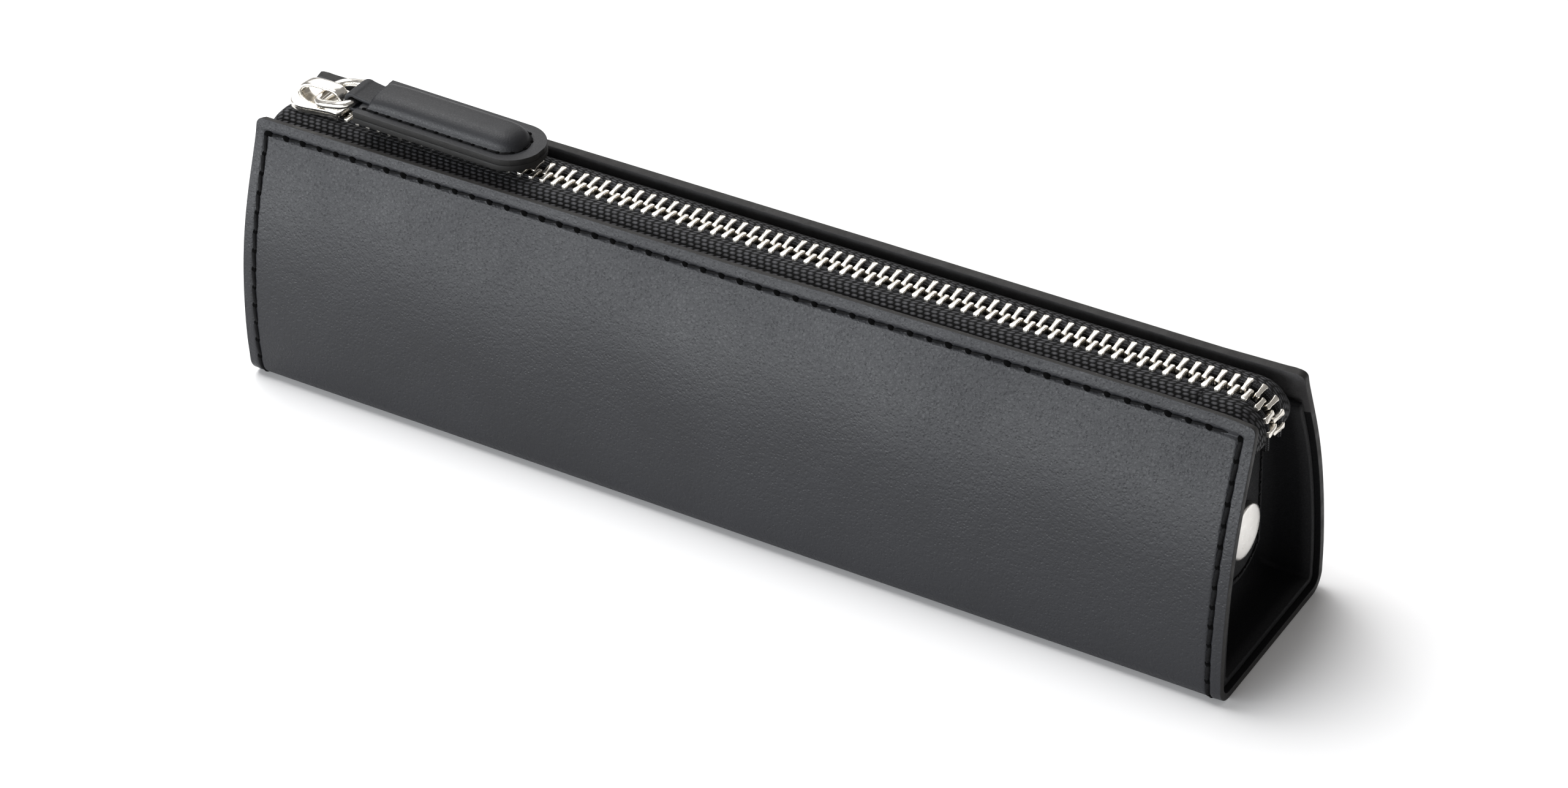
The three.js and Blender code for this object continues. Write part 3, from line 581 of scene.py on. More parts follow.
def warp(p):
    """The leather's slow unevenness: the front lip rides up towards the right and the panels wave."""
    p = np.array(p, float)
    x, y, z = p[..., 0], p[..., 1], p[..., 2]
    high = np.clip(z / HEIGHT, 0, 1.05) ** 4
    front = (y < 0).astype(float)
    hump = np.interp(x, [-100, -90, -50, 0, 25, 60, 82, 94, 100],
                     [0.0, 0.05, 0.1, 0.05, 0.3, 0.5, 0.55, 0.4, 0.0])
    sag = np.interp(x, [-100, -30, 20, 60, 85, 97, 100], [0, 0, 0.1, 0.3, 0.35, 0.05, 0])
    p[..., 2] += (front * hump - (1 - front) * sag) * high
    p[..., 1] += front * hump * 0.45 * high
    low = np.clip(z / 8, 0, 1)
    wave = 0.16 * np.sin(x / 17 + 0.6) + 0.1 * np.sin(x / 7.3 + z / 9)
    p[..., 1] += np.sign(y) * wave * low * np.clip((HEIGHT - z) / 10, 0, 1)
    return p


# ---- the folded sheet ----
def folded_sheet():
    near = np.array([0, 0.3, 0.6, 0.95, 1.3, 1.6, 1.78, 1.95, 2.12, 2.28, 2.45, 2.62, 2.78,
                     2.95, 3.12, 3.35, 4.0, 5.2])
    drops = np.concatenate([near, np.linspace(8, SIDE_LENGTH - 0.1, 26)])
    ends = HALF_LENGTH - near
    middle = np.linspace(-ends[-1], ends[-1], 190)[1:-1]
    columns = np.concatenate([-ends, middle, ends[::-1]])
    half_groove = 0.75

    def dip(distance):
        """The pressed groove's depth, from 1 on the seam to 0 beside it."""
        share = np.clip(np.abs(distance) / half_groove, 0, 1)
        return 0.5 + 0.5 * np.cos(np.pi * share)

    flat, inside = section(drops, 0), section(drops, LEATHER)
    deep = section(drops, 1.0)
    x = columns[None, :]
    drop = flat[:, 2][:, None]
    end_seam = dip(np.abs(x) - (HALF_LENGTH - SEAM_INSET)) * (drop > SEAM_INSET)
    round_corner = dip(np.hypot(np.abs(x) - (HALF_LENGTH - SEAM_INSET), drop - SEAM_INSET))
    top_seam = dip(drop - SEAM_INSET) * (np.abs(x) < HALF_LENGTH - SEAM_INSET)
    groove = np.maximum(np.maximum(end_seam, round_corner), top_seam)
    pucker = 0.26 + 0.1 * np.sin(2 * np.pi * x / STITCH_PITCH)
    # The panel swells a little between its edge and its seam, as pressed leather does.
    swell = 0.072 * (np.exp(-((drop - 1.5) / 0.8) ** 2)
                     + np.exp(-((HALF_LENGTH - np.abs(x) - 1.5) / 0.8) ** 2))
    depth = groove * pucker - swell
    inward = (deep[:, :2] - flat[:, :2])[:, None, :]
    skin = flat[:, None, :2] + inward * depth[:, :, None]
    reach = np.where(drop < CORNER_RADIUS,
                     CORNER_RADIUS - np.sqrt(np.clip(
                         CORNER_RADIUS ** 2 - (CORNER_RADIUS - np.clip(drop, 0, CORNER_RADIUS)) ** 2,
                         0, None)), 0)
    edge_share = np.clip((np.abs(x) - (HALF_LENGTH - 6.2)) / 6.2, 0, 1)
    place_x = x - np.sign(x) * reach * edge_share + 0 * drop
    outer = np.dstack([place_x, skin[..., 0], skin[..., 1]])
    # The leather is pared thinner towards its edges before it is sewn.
    rim_share = np.exp(-np.minimum(drop, HALF_LENGTH - np.abs(x)) / 2.2)
    pared = flat[:, None, :2] + (inside[:, :2] - flat[:, :2])[:, None] * (
        1 - 0.3 * rim_share[:, :, None])
    inner = np.dstack([place_x, pared[..., 0], pared[..., 1]])
    points, faces, rim = sheet_between(warp(outer), warp(inner))
    # Skin outside, dyed cut edges, a paler band inside the top edges that is painted sheen standing in
    # for light on the inner face, and dark flesh below it.
    rows, across = outer.shape[0] - 1, outer.shape[1] - 1
    painted_sheen_rows = len(near) + 1

    def kind(i):
        row = (i - rows * across) // across
        if rim[i]:
            return 1
        if row < 0:
            return 0
        return 3 if min(row, rows - 1 - row) < painted_sheen_rows else 2

    kinds = [kind(i) for i in range(len(faces))]
    piece = make_mesh("folded_leather", points, faces, ["leather", "edge", "flesh", "lip"], kinds)
    face_outwards(piece)
    bevel(piece, 0.42, 3, 50)
    return piece


shell = folded_sheet()
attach(shell, "root")
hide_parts("shell_leather")


# ---- stitching on the panels ----
def surface_point(x, drop, offset, side):
    """A place on the sheet: on the side panels by drop below the top edge, side -1 or 1."""
    y, z = side_point(drop, offset)
    return warp([x, side * y, z])


def section_path(offset, top_drop):
    """The section as an evenly spaced path from one seam's top to the other, round the base."""
    drops = np.linspace(top_drop, SIDE_LENGTH - 0.05, 160)
    rows = section(drops, offset, 40, 60)[:, :2]
    return rows, run_length(rows)


def stitch_row(name, base, down, pitch, start, count, thread=0.25, hole=0.74, slant=0.4):
    """Lockstitches: a thread that dives at each hole, and a near-black slanted blob between stitches,
    painted shade standing in for the shadow inside each hole.
    base(s) gives a point on the surface at distance s, down(s) the direction into the leather and
    the direction across the seam."""
    gathered = Gathered()
    for i in range(count):
        s0, s1 = start + i * pitch, start + (i + 1) * pitch
        path, radii = [], []
        for t in np.linspace(0, 1, 11):
            s = s0 + (s1 - s0) * t
            into, across = down(s)
            arch = math.sin(math.pi * t) ** 0.5
            sway = (0.5 - t) * slant
            path.append(base(s) + into * (0.55 - 0.4 * arch) + across * sway)
            radii.append(thread * (0.7 + 0.3 * arch + 0.08 * math.sin(9 * t)))
        gathered.add(*tube(path, radii, 8, up=tuple(-down(s0)[0])))
        # Painted shade: a flattened near-black blob at the stitch's start, standing in for the shadow
        # inside the needle hole.
        into, across = down(s0)
        centre = base(s0) + into * 0.12
        along = unit(base(s0 + 0.1) - base(s0 - 0.1))
        axis = unit(along * 0.8 + across * 0.45)
        size = hole * rng.uniform(0.88, 1.1)
        reach = [centre + axis * v for v in np.linspace(-size, size, 7)]
        swell = [size * 0.8 * math.sqrt(max(1 - (v / 1.02) ** 2, 0.02))
                 for v in np.linspace(-1, 1, 7)]
        gathered.add(*tube(reach, swell, 10, flat=0.42, up=tuple(-into)), material=1)
    return gathered.piece(name, "thread", "hole")


def top_stitching(side, name, node):
    start = -(HALF_LENGTH - SEAM_INSET) + 0.6
    count = int(2 * (HALF_LENGTH - SEAM_INSET - 0.6) / STITCH_PITCH)

    def base(s):
        return surface_point(s, SEAM_INSET, 0.0, side)

    def down(s):
        into = surface_point(s, SEAM_INSET, 1.0, side) - base(s)
        across = surface_point(s, SEAM_INSET + 0.5, 0.0, side) - base(s)
        return unit(into), unit(across)

    piece = stitch_row(name, base, down, STITCH_PITCH, start, count)
    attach(piece, "root")
    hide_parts(node)


def end_stitching(end, name, node):
    rows, length = section_path(0.0, SEAM_INSET)
    deep, _ = section_path(1.0, SEAM_INSET)
    x = end * (HALF_LENGTH - SEAM_INSET)

    def pick(table, s):
        return np.array([np.interp(s, length, table[:, 0]), np.interp(s, length, table[:, 1])])

    def base(s):
        y, z = pick(rows, s)
        return warp([x, y, z])

    def down(s):
        into = unit(pick(deep, s) - pick(rows, s))
        return np.array([0, *into]), np.array([end, 0, 0.0])

    count = int((length[-1] - 0.4) / STITCH_PITCH)
    piece = stitch_row(name, base, down, STITCH_PITCH, 0.2, count, thread=0.46, hole=0.7)
    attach(piece, "root")
    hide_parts(node)


top_stitching(-1, "front_top_thread", "front_top_stitching")
top_stitching(1, "rear_top_thread", "rear_top_stitching")
end_stitching(-1, "left_end_thread", "left_end_stitching")
end_stitching(1, "right_end_thread", "right_end_stitching")


# ---- gussets ----
def gusset(end, name, node):
    """The flange lies against the panels and base; a soft bend turns it into the flat wall."""
    top_drop, thickness, middle_z = 6.0, 1.2, 24.0
    drops = np.linspace(top_drop, SIDE_LENGTH - 0.1, 30)
    steps = [(99.2, 0.0), (96.9, 0.0), (94.6, 0.02), (93.2, 0.1), (92.2, 0.35), (91.4, 0.8),
             (90.8, 1.5), (90.35, 2.3), (90.2, 3.2)]
    outline = section(drops, LEATHER + 0.3 + thickness, 8, 8)
    away = outline[:, :2] - (0.0, middle_z)
    away /= np.linalg.norm(away, axis=1)[:, None]
    rows = []
    for x, inset in steps:
        moved = outline[:, :2] - away * inset
        rows.append(np.column_stack([np.full(len(moved), end * x), moved]))
    rim = rows[-1]
    for share in (0.8, 0.6, 0.4, 0.2, 0.02):
        flat = rim.copy()
        flat[:, 1] = rim[:, 1] * share
        flat[:, 2] = middle_z + (rim[:, 2] - middle_z) * share
        flat[:, 0] += end * 0.25 * (1 - share)
        rows.append(flat)
    skin = np.array(rows)
    wall = skin.copy()
    wall[:, :, 0] -= end * thickness * np.clip((np.arange(len(skin)) - 1) / 7, 0, 1)[:, None]
    # Behind the flange the thickness goes outwards, towards the panel.
    outwards = section(drops, LEATHER + 0.25, 8, 8)[:, :2] - outline[:, :2]
    for i in range(len(steps)):
        wall[i, :, 1:] += outwards * (1 - min(i / 8, 1))
    points, faces, _ = sheet_between(skin, wall)
    piece = face_outwards(make_mesh(name, points, faces, ["gusset"]))
    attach(piece, "root")
    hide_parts(node)


gusset(-1, "left_end_gusset", "left_gusset")
gusset(1, "right_end_gusset", "right_gusset")


# ---- lining ----
def lining():
    drops = np.concatenate([[4.6, 4.9], np.linspace(6, SIDE_LENGTH - 0.1, 20)])
    columns = np.linspace(lining_low[0], lining_high[0], 60)
    offset = LEATHER + 1.1
    outer, inner = section(drops, offset), section(drops, offset + 0.6)

    def spread(rows, lift):
        grid = np.array([[(x, y, z) for x in columns] for y, z, _ in rows])
        ripple = 0.12 * np.sin(grid[..., 0] / 6.1) * np.sin(grid[..., 2] / 5.2 + 1) * lift
        grid[..., 1] -= np.sign(grid[..., 1]) * ripple
        return grid

    points, faces, _ = sheet_between(spread(outer, 0), spread(inner, 1))
    piece = face_outwards(make_mesh("suede_lining", points, faces, ["lining"]))
    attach(piece, "root")
    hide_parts("lining")


lining()


# ---- zip tape ----
# Half the tape's thickness, and the tape's section across as (y, z) rows, in millimetres.
TAPE_HALF = 0.3
TAPE_ROWS = np.array([
    (2.1, 49.85), (2.75, 49.9), (3.5, 49.9), (4.3, 49.82), (5.0, 49.6), (5.6, 49.25),
    (6.2, 48.7), (6.7, 48.05), (7.1, 47.3), (7.4, 46.6), (7.55, 46.0),
])


def strip_frames(rows):
    """Each row's direction out of the tape's face, as (y, z)."""
    step = np.gradient(rows, axis=0)
    step /= np.linalg.norm(step, axis=1)[:, None]
    return np.column_stack([-step[:, 1], step[:, 0]])


TAPE_NORMALS = strip_frames(TAPE_ROWS)
TAPE_ACROSS = run_length(TAPE_ROWS)


def tape_sheet(name, skin, uv):
    """The tape between its upper and lower skins. uv holds millimetres along and across it."""
    points, faces, _ = sheet_between(skin(TAPE_HALF), skin(-TAPE_HALF))
    uv = np.array(uv).reshape(-1, 2)
    piece = face_outwards(make_mesh(name, points, faces, ["tape"], uv=np.concatenate([uv, uv])))
    return piece


# The tape's loose left end droops over the end of the case.
DROOP_X, DROOP_END_X = -96.5, -100.6


def tape_web(side, name, node):
    columns = np.concatenate([np.linspace(DROOP_END_X, DROOP_X, 9),
                              np.linspace(DROOP_X + 1, SPLIT_X + 0.15, 150)])

    def skin(lift):
        grid = []
        for (y, z), (ny, nz) in zip(TAPE_ROWS, TAPE_NORMALS):
            line = []
            for x in columns:
                sag = 3.4 * np.clip((DROOP_X - 0.3 - x) / 3.8, 0, 1) ** 1.8
                line.append((x, side * (y + ny * lift), z + nz * lift - sag))
            grid.append(line)
        return np.array(grid)

    piece = tape_sheet(name, skin, [[(x, v) for x in columns] for v in TAPE_ACROSS])
    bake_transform(piece)
    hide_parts(node)


tape_web(-1, "front_tape_free", "front_tape_web")
tape_web(1, "rear_tape_free", "rear_tape_web")


def curl_place(s):
    if s <= 0:
        return np.array([CURL_START_X + s, CHAIN_Z]), 0.0
    turn = min(s / CURL_RADIUS, math.pi / 2)
    x = CURL_START_X + CURL_RADIUS * math.sin(turn)
    z = CHAIN_Z - CURL_RADIUS * (1 - math.cos(turn))
    return np.array([x, z - max(s - CURL_RADIUS * math.pi / 2, 0)]), turn


joints = {joint["name"]: joint for joint in frame["record"]["behaviour"]["joints"]}
HINGE_Z = joints["end_tab_swing"]["pos_m"][2] / MM


def tape_end(side, name, node):
    """The tape's end follows the chain over the end of the case and tucks in above the tab's hinge."""
    quarter = CURL_RADIUS * math.pi / 2
    tape_end_low = max(mm_box(node)[0][2], HINGE_Z + 0.6)
    tuck_z, tuck_x = HINGE_Z + 2.6, tab_high[0] + 0.75
    last = quarter + (CHAIN_Z - CURL_RADIUS - tape_end_low)
    stations = np.concatenate([[SPLIT_X - CURL_START_X - 0.1], np.linspace(-4, last, 34)])

    def skin(lift):
        grid = []
        for s in stations:
            place, turn = curl_place(s)
            if place[1] < tuck_z:
                share = (tuck_z - place[1]) / (tuck_z - tape_end_low)
                place[0] += (tuck_x - place[0]) * min(share, 1) ** 1.3
                turn += 0.75 * math.sin(math.pi * min(share, 1) * 0.5)
            level = 1 - min(max(s / quarter, 0), 1)
            up = np.array([math.sin(turn), math.cos(turn)])
            line = []
            for (y, z), (ny, nz) in zip(TAPE_ROWS, TAPE_NORMALS):
                drop = (z - CHAIN_Z) * (0.12 + 0.88 * level) + lift * (level * nz + 1 - level)
                reach = y + lift * ny * level - (y - CHAIN_HALF_WIDTH) * 0.12 * (1 - level)
                line.append((place[0] + up[0] * drop, side * reach, place[1] + up[1] * drop))
            grid.append(line)
        return np.array(grid)

    piece = tape_sheet(name, skin, [[(s, v) for v in TAPE_ACROSS] for s in stations])
    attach(piece, "root")
    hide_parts(node)


tape_end(-1, "front_tape_tail", "front_tape_end")
tape_end(1, "rear_tape_tail", "rear_tape_end")


# ---- teeth ----
def tooth_template(side):
    """One stamped tooth: legs that grip the tape's cord, a waist and a rounded head."""
    half = [(2.86, 0.30), (2.78, 0.50), (2.55, 0.57), (2.3, 0.54), (2.0, 0.46), (1.2, 0.42),
            (0.8, 0.40), (0.5, 0.36), (0.2, 0.40), (-0.05, 0.47), (-0.28, 0.45), (-0.43, 0.28)]
    outline = [(x, y) for y, x in half] + [(-x, y) for y, x in half[::-1]]
    placed = [(x, side * y) for x, y in outline]
    piece = slab("tooth", placed, -0.9, 0.9, (0, 1, 2), "teeth")
    bevel(piece, 0.14, 2, 50)
    points = np.array([v.co for v in piece.data.vertices], float) / MM
    faces = [tuple(p.vertices) for p in piece.data.polygons]
    # Heads are a little lower than the legs, as they are on a real chain.
    lowered = np.clip((1.2 - side * points[:, 1]) / 1.4, 0, 1)
    points[:, 2] *= 1 - 0.3 * lowered
    bpy.data.objects.remove(piece)
    return points, faces


def tape_cord(name, path, up=(0, 0, 1)):
    """The woven cord on the tape's edge that the teeth grip."""
    bead = Gathered()
    bead.add(*tube(path, 0.62, 8, up=up))
    core = bead.piece(name + "_cord", "tape")
    core.data.uv_layers.new(name="weave")
    return core


def tooth_row(side, name, node, phase):
    template, faces = tooth_template(side)
    gathered = Gathered()
    x = FIRST_TOOTH_X + phase
    while x + TOOTH_PITCH < SPLIT_X + 0.6:
        tilt = rng.normal(0, 0.02)
        turned = template.copy()
        turned[:, 0] += tilt * template[:, 1]
        gathered.add(turned + [x, 0, CHAIN_Z], faces)
        x += TOOTH_PITCH
    cord = [(u, side * CORD_Y, CHAIN_Z) for u in np.linspace(FIRST_TOOTH_X - 1.4, SPLIT_X, 120)]
    piece = gathered.piece(name, "teeth")
    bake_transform(piece)
    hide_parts(node)
    core = tape_cord(name, cord)
    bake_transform(core)
    return x


next_front = tooth_row(-1, "front_tooth_row", "front_teeth", 0.0)
next_rear = tooth_row(1, "rear_tooth_row", "rear_teeth", TOOTH_PITCH / 2)


def end_teeth(side, name, node, first):
    template, faces = tooth_template(side)
    gathered = Gathered()
    quarter = CURL_RADIUS * math.pi / 2
    last_tooth_z = 43.4
    last = quarter + (CHAIN_Z - CURL_RADIUS - last_tooth_z)
    s = first - CURL_START_X
    while s <= last:
        place, turn = curl_place(s)
        c, w = math.cos(turn), math.sin(turn)
        moved = template.copy()
        moved[:, 0] = template[:, 0] * c + template[:, 2] * w + place[0]
        moved[:, 2] = -template[:, 0] * w + template[:, 2] * c + place[1]
        gathered.add(moved, faces)
        s += TOOTH_PITCH
    piece = gathered.piece(name, "teeth")
    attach(piece, "root")
    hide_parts(node)
    places = [curl_place(v)[0] for v in np.linspace(SPLIT_X - CURL_START_X, last + 2.0, 40)]
    core = tape_cord(name, [(x, side * CORD_Y, z) for x, z in places], (0, 1, 0))
    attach(core, "root")


end_teeth(-1, "front_curl_teeth", "front_end_teeth", next_front)
end_teeth(1, "rear_curl_teeth", "rear_end_teeth", next_rear)


def top_stop(name, node, body):
    low, high = mm_box(node)
    outline = [(low[0], low[1]), (high[0], low[1]), (high[0], high[1]), (low[0], high[1])]
    piece = slab(name, outline, low[2], high[2], (0, 1, 2), "nickel")
    bevel(piece, 0.35, 3)
    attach(piece, body)
    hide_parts(node)


top_stop("front_zip_stop", "front_top_stop", "front_zip_half")
top_stop("rear_zip_stop", "rear_top_stop", "rear_zip_half")


# ---- slider ----
def smooth_path(points, count):
    """A centripetal curve through the points."""
    points = np.asarray(points, float)
    steps = np.linalg.norm(np.diff(points, axis=0), axis=1) ** 0.5
    knots = np.concatenate([[0], np.cumsum(steps)])
    slopes = np.gradient(points, knots, axis=0)
    out = []
    for t in np.linspace(0, knots[-1], count):
        i = min(max(np.searchsorted(knots, t) - 1, 0), len(knots) - 2)
        h = knots[i + 1] - knots[i]
        u = (t - knots[i]) / h
        out.append(
            points[i] * (2 * u ** 3 - 3 * u ** 2 + 1) + slopes[i] * h * (u ** 3 - 2 * u ** 2 + u)
            + points[i + 1] * (-2 * u ** 3 + 3 * u ** 2) + slopes[i + 1] * h * (u ** 3 - u ** 2)
        )
    return np.array(out)


def squared(v, power):
    """A cosine or sine pushed outwards, which turns a circle into a rounded square."""
    return math.copysign(abs(v) ** power, v)


def rounded_bar(path, half_width, half_height, count=16, power=0.55):
    """A bar of rounded section along a path in the XZ plane."""
    path = np.asarray(path, float)
    along = np.gradient(path, axis=0)
    along /= np.linalg.norm(along, axis=1)[:, None]
    up = np.column_stack([-along[:, 2], np.zeros(len(path)), along[:, 0]])
    turn = 2 * np.pi * np.arange(count) / count
    hw = np.broadcast_to(np.asarray(half_width, float), (len(path),))
    hh = np.broadcast_to(np.asarray(half_height, float), (len(path),))
    points = []
    for p, u, w, h in zip(path, up, hw, hh):
        for a in turn:
            across = np.array([0, w * squared(math.cos(a), power), 0])
            points.append(p + across + u * h * squared(math.sin(a), power))
    return points, capped_faces(len(path), count)


def slider():
    left, right = slider_low[0], slider_high[0]
    shoulder, throat = slider_high[1], 3.7
    gap, plate = 1.35, 0.9
    low, high = CHAIN_Z - gap, CHAIN_Z + gap
    side = smooth_path([
        (left, 2.2, 0), (left + 0.5, 3.5, 0), (left + 1.6, shoulder - 0.15, 0),
        (left + 3.6, shoulder, 0), (left + 6.2, throat + 0.45, 0), (right - 2.2, throat, 0),
        (right - 0.7, throat, 0), (right, throat - 0.9, 0),
    ], 26)[:, :2]
    outline = [(x, -y) for x, y in side] + [(x, y) for x, y in side[::-1]]
    parts = [
        slab("top_plate", outline, high, high + plate, (0, 1, 2), "nickel"),
        slab("bottom_plate", outline, low - plate, low, (0, 1, 2), "nickel"),
    ]
    flange = side[5:-2]
    for way in (-1, 1):
        strip = [(x, way * y) for x, y in flange] + [(x, way * (y - 0.8)) for x, y in flange[::-1]]
        parts.append(slab("flange", strip, CHAIN_Z + 0.7, high + plate * 0.5, (0, 1, 2), "nickel"))
        parts.append(slab("flange", strip, low - plate * 0.5, CHAIN_Z - 0.7, (0, 1, 2), "nickel"))
    wedge = [(left + 0.2, 0.5), (left + 1.4, 1.1), (left + 2.2, 1.1), (left + 4.1, 0)]
    diamond = wedge + [(x, -y) for x, y in wedge[::-1][1:]]
    parts.append(slab("wedge", diamond, low - plate * 0.5, high + plate * 0.5, (0, 1, 2), "nickel"))
    for part in parts:
        bevel(part, 0.22, 3)
    foot = high + plate * 0.5
    arch = smooth_path([
        (left + 0.95, 0, foot - 0.1), (left + 0.95, 0, foot + 1.0), (left + 1.75, 0, foot + 2.1),
        (left + 3.2, 0, foot + 2.75), (right - 4.4, 0, foot + 2.95), (right - 2.5, 0, foot + 2.6),
        (right - 1.7, 0, foot + 1.5), (right - 1.5, 0, foot - 0.1),
    ], 40)
    width = np.interp(np.linspace(0, 1, 40), [0, 0.25, 0.5, 0.8, 1], [1.3, 1.42, 1.42, 1.35, 1.2])
    height = np.interp(np.linspace(0, 1, 40), [0, 0.2, 0.5, 0.8, 1], [0.62, 0.5, 0.42, 0.45, 0.6])
    bar = face_outwards(make_mesh("crown", *rounded_bar(arch, width, height), ["nickel"]))
    whole = merge("zip_slider", parts + [bar])
    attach(whole, "slider")
    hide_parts("slider_body")


slider()


# ---- pull ring ----
WIRE_INSET = 0.75  # from the ring's box to the middle of its wire
WIRE_RADIUS = 0.78


def pull_ring():
    left, right = ring_low[0] + WIRE_INSET, ring_high[0] - WIRE_INSET
    half_width = ring_high[1] - WIRE_INSET
    low_z, high_z = ring_low[2] + WIRE_INSET, ring_high[2] - WIRE_INSET
    middle, half = (left + right) / 2, (right - left) / 2
    path = []
    for a in np.linspace(0, 2 * np.pi, 64, endpoint=False):
        x = middle + half * squared(math.cos(a), 0.55)
        path.append((x, half_width * squared(math.sin(a), 0.55),
                     low_z + (high_z - low_z) * (x - left) / (2 * half)))
    points, faces = tube(path, WIRE_RADIUS, 14, closed=True, flat=0.92)
    piece = face_outwards(make_mesh("zip_pull_ring", points, faces, ["nickel"]))
    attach(piece, "pull_link")
    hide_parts("pull_ring")


pull_ring()


# ---- strap and puller ----
PULL_HALF_WIDTH = puller_high[1]
ROUND_X = puller_high[0] + 0.1 - PULL_HALF_WIDTH
RING_BAR = np.array([ring_high[0] - WIRE_INSET, 0, ring_high[2] - WIRE_INSET])


def strap():
    """A doubled strap: its loop goes round the ring's bar and both ends run in under the pillow."""
    thickness, play = 0.95, 0.25
    radius = WIRE_RADIUS + play + thickness / 2
    end_x = strap_high[0] - 0.4
    top_z, low_z = strap_low[2] + 2.85, strap_low[2] + 2.1
    start = [(end_x, 0, top_z), (end_x - 2.5, 0, top_z + 0.05)]
    around = [
        (RING_BAR[0] + radius * math.cos(a), 0, RING_BAR[2] + radius * math.sin(a))
        for a in np.radians(np.linspace(62, 290, 12))
    ]
    finish = [(end_x - 2.8, 0, low_z), (end_x, 0, low_z)]
    path = smooth_path(start + around + finish, 60)
    width = strap_high[1] + 0.15
    points, faces = rounded_bar(path, width, thickness / 2, 24, 0.32)
    piece = face_outwards(make_mesh("ring_strap", points, faces, ["strap"]))
    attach(piece, "puller")
    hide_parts("pull_strap")


strap()


def pull_half_width(x):
    if x <= ROUND_X:
        return PULL_HALF_WIDTH
    return math.sqrt(max(PULL_HALF_WIDTH ** 2 - (x - ROUND_X) ** 2, 0))


PULL_TILT = 0.0216
PILLOW_HALF_WIDTH = 4.1
PILLOW_RIGHT = puller_high[0] - 3.0
PILLOW_LEFT = puller_low[0] + 1.5
PILLOW_END = 5.6  # how much of its length the rounded end takes up
PILLOW_POWER = 2.4
LAYER = 1.1  # thickness of each of the puller's leathers
PULL_BASE_Z = under_low[2] + (under_high[0] - under_low[0]) * math.sin(PULL_TILT)


def heading(base, s, total):
    """The direction of a flat seam at distance s."""
    return unit(base(min(s + 0.05, total)) - base(max(s - 0.05, 0)))


def dye_rim(piece, axis, key):
    """Gives the faces round a slab's rim the material of a cut edge."""
    piece.data.materials.append(MATERIALS[key])
    for polygon in piece.data.polygons:
        if abs(polygon.normal[axis]) < 0.5:
            polygon.material_index = 1


def lean(piece):
    """The puller leans down from its strap towards its rounded end."""
    pivot = Matrix.Translation(Vector((puller_low[0] * MM, 0, PULL_BASE_Z * MM)))
    piece.data.transform(pivot @ Matrix.Rotation(PULL_TILT, 4, "Y") @ pivot.inverted())
    piece.data.update()
    return piece


def pillow_share(x, y):
    """How far the pillow rises at a place, from 0 on the flange to 1 on its crown."""
    across = abs(y) / PILLOW_HALF_WIDTH
    along = max((x - (PILLOW_RIGHT - PILLOW_END)) / PILLOW_END, 0)
    radial = (across ** PILLOW_POWER + along ** PILLOW_POWER) ** (1 / PILLOW_POWER)
    if radial >= 1:
        return 0.0
    step = min(max((x - PILLOW_LEFT) / 0.9, 0), 1)
    entry = math.sin(step * math.pi / 2) * (0.82 + 0.18 * math.sin(
        min(max(x - PILLOW_LEFT, 0) / 6.5, 1) * math.pi / 2))
    return (1 - radial ** 2.8) ** 0.6 * entry


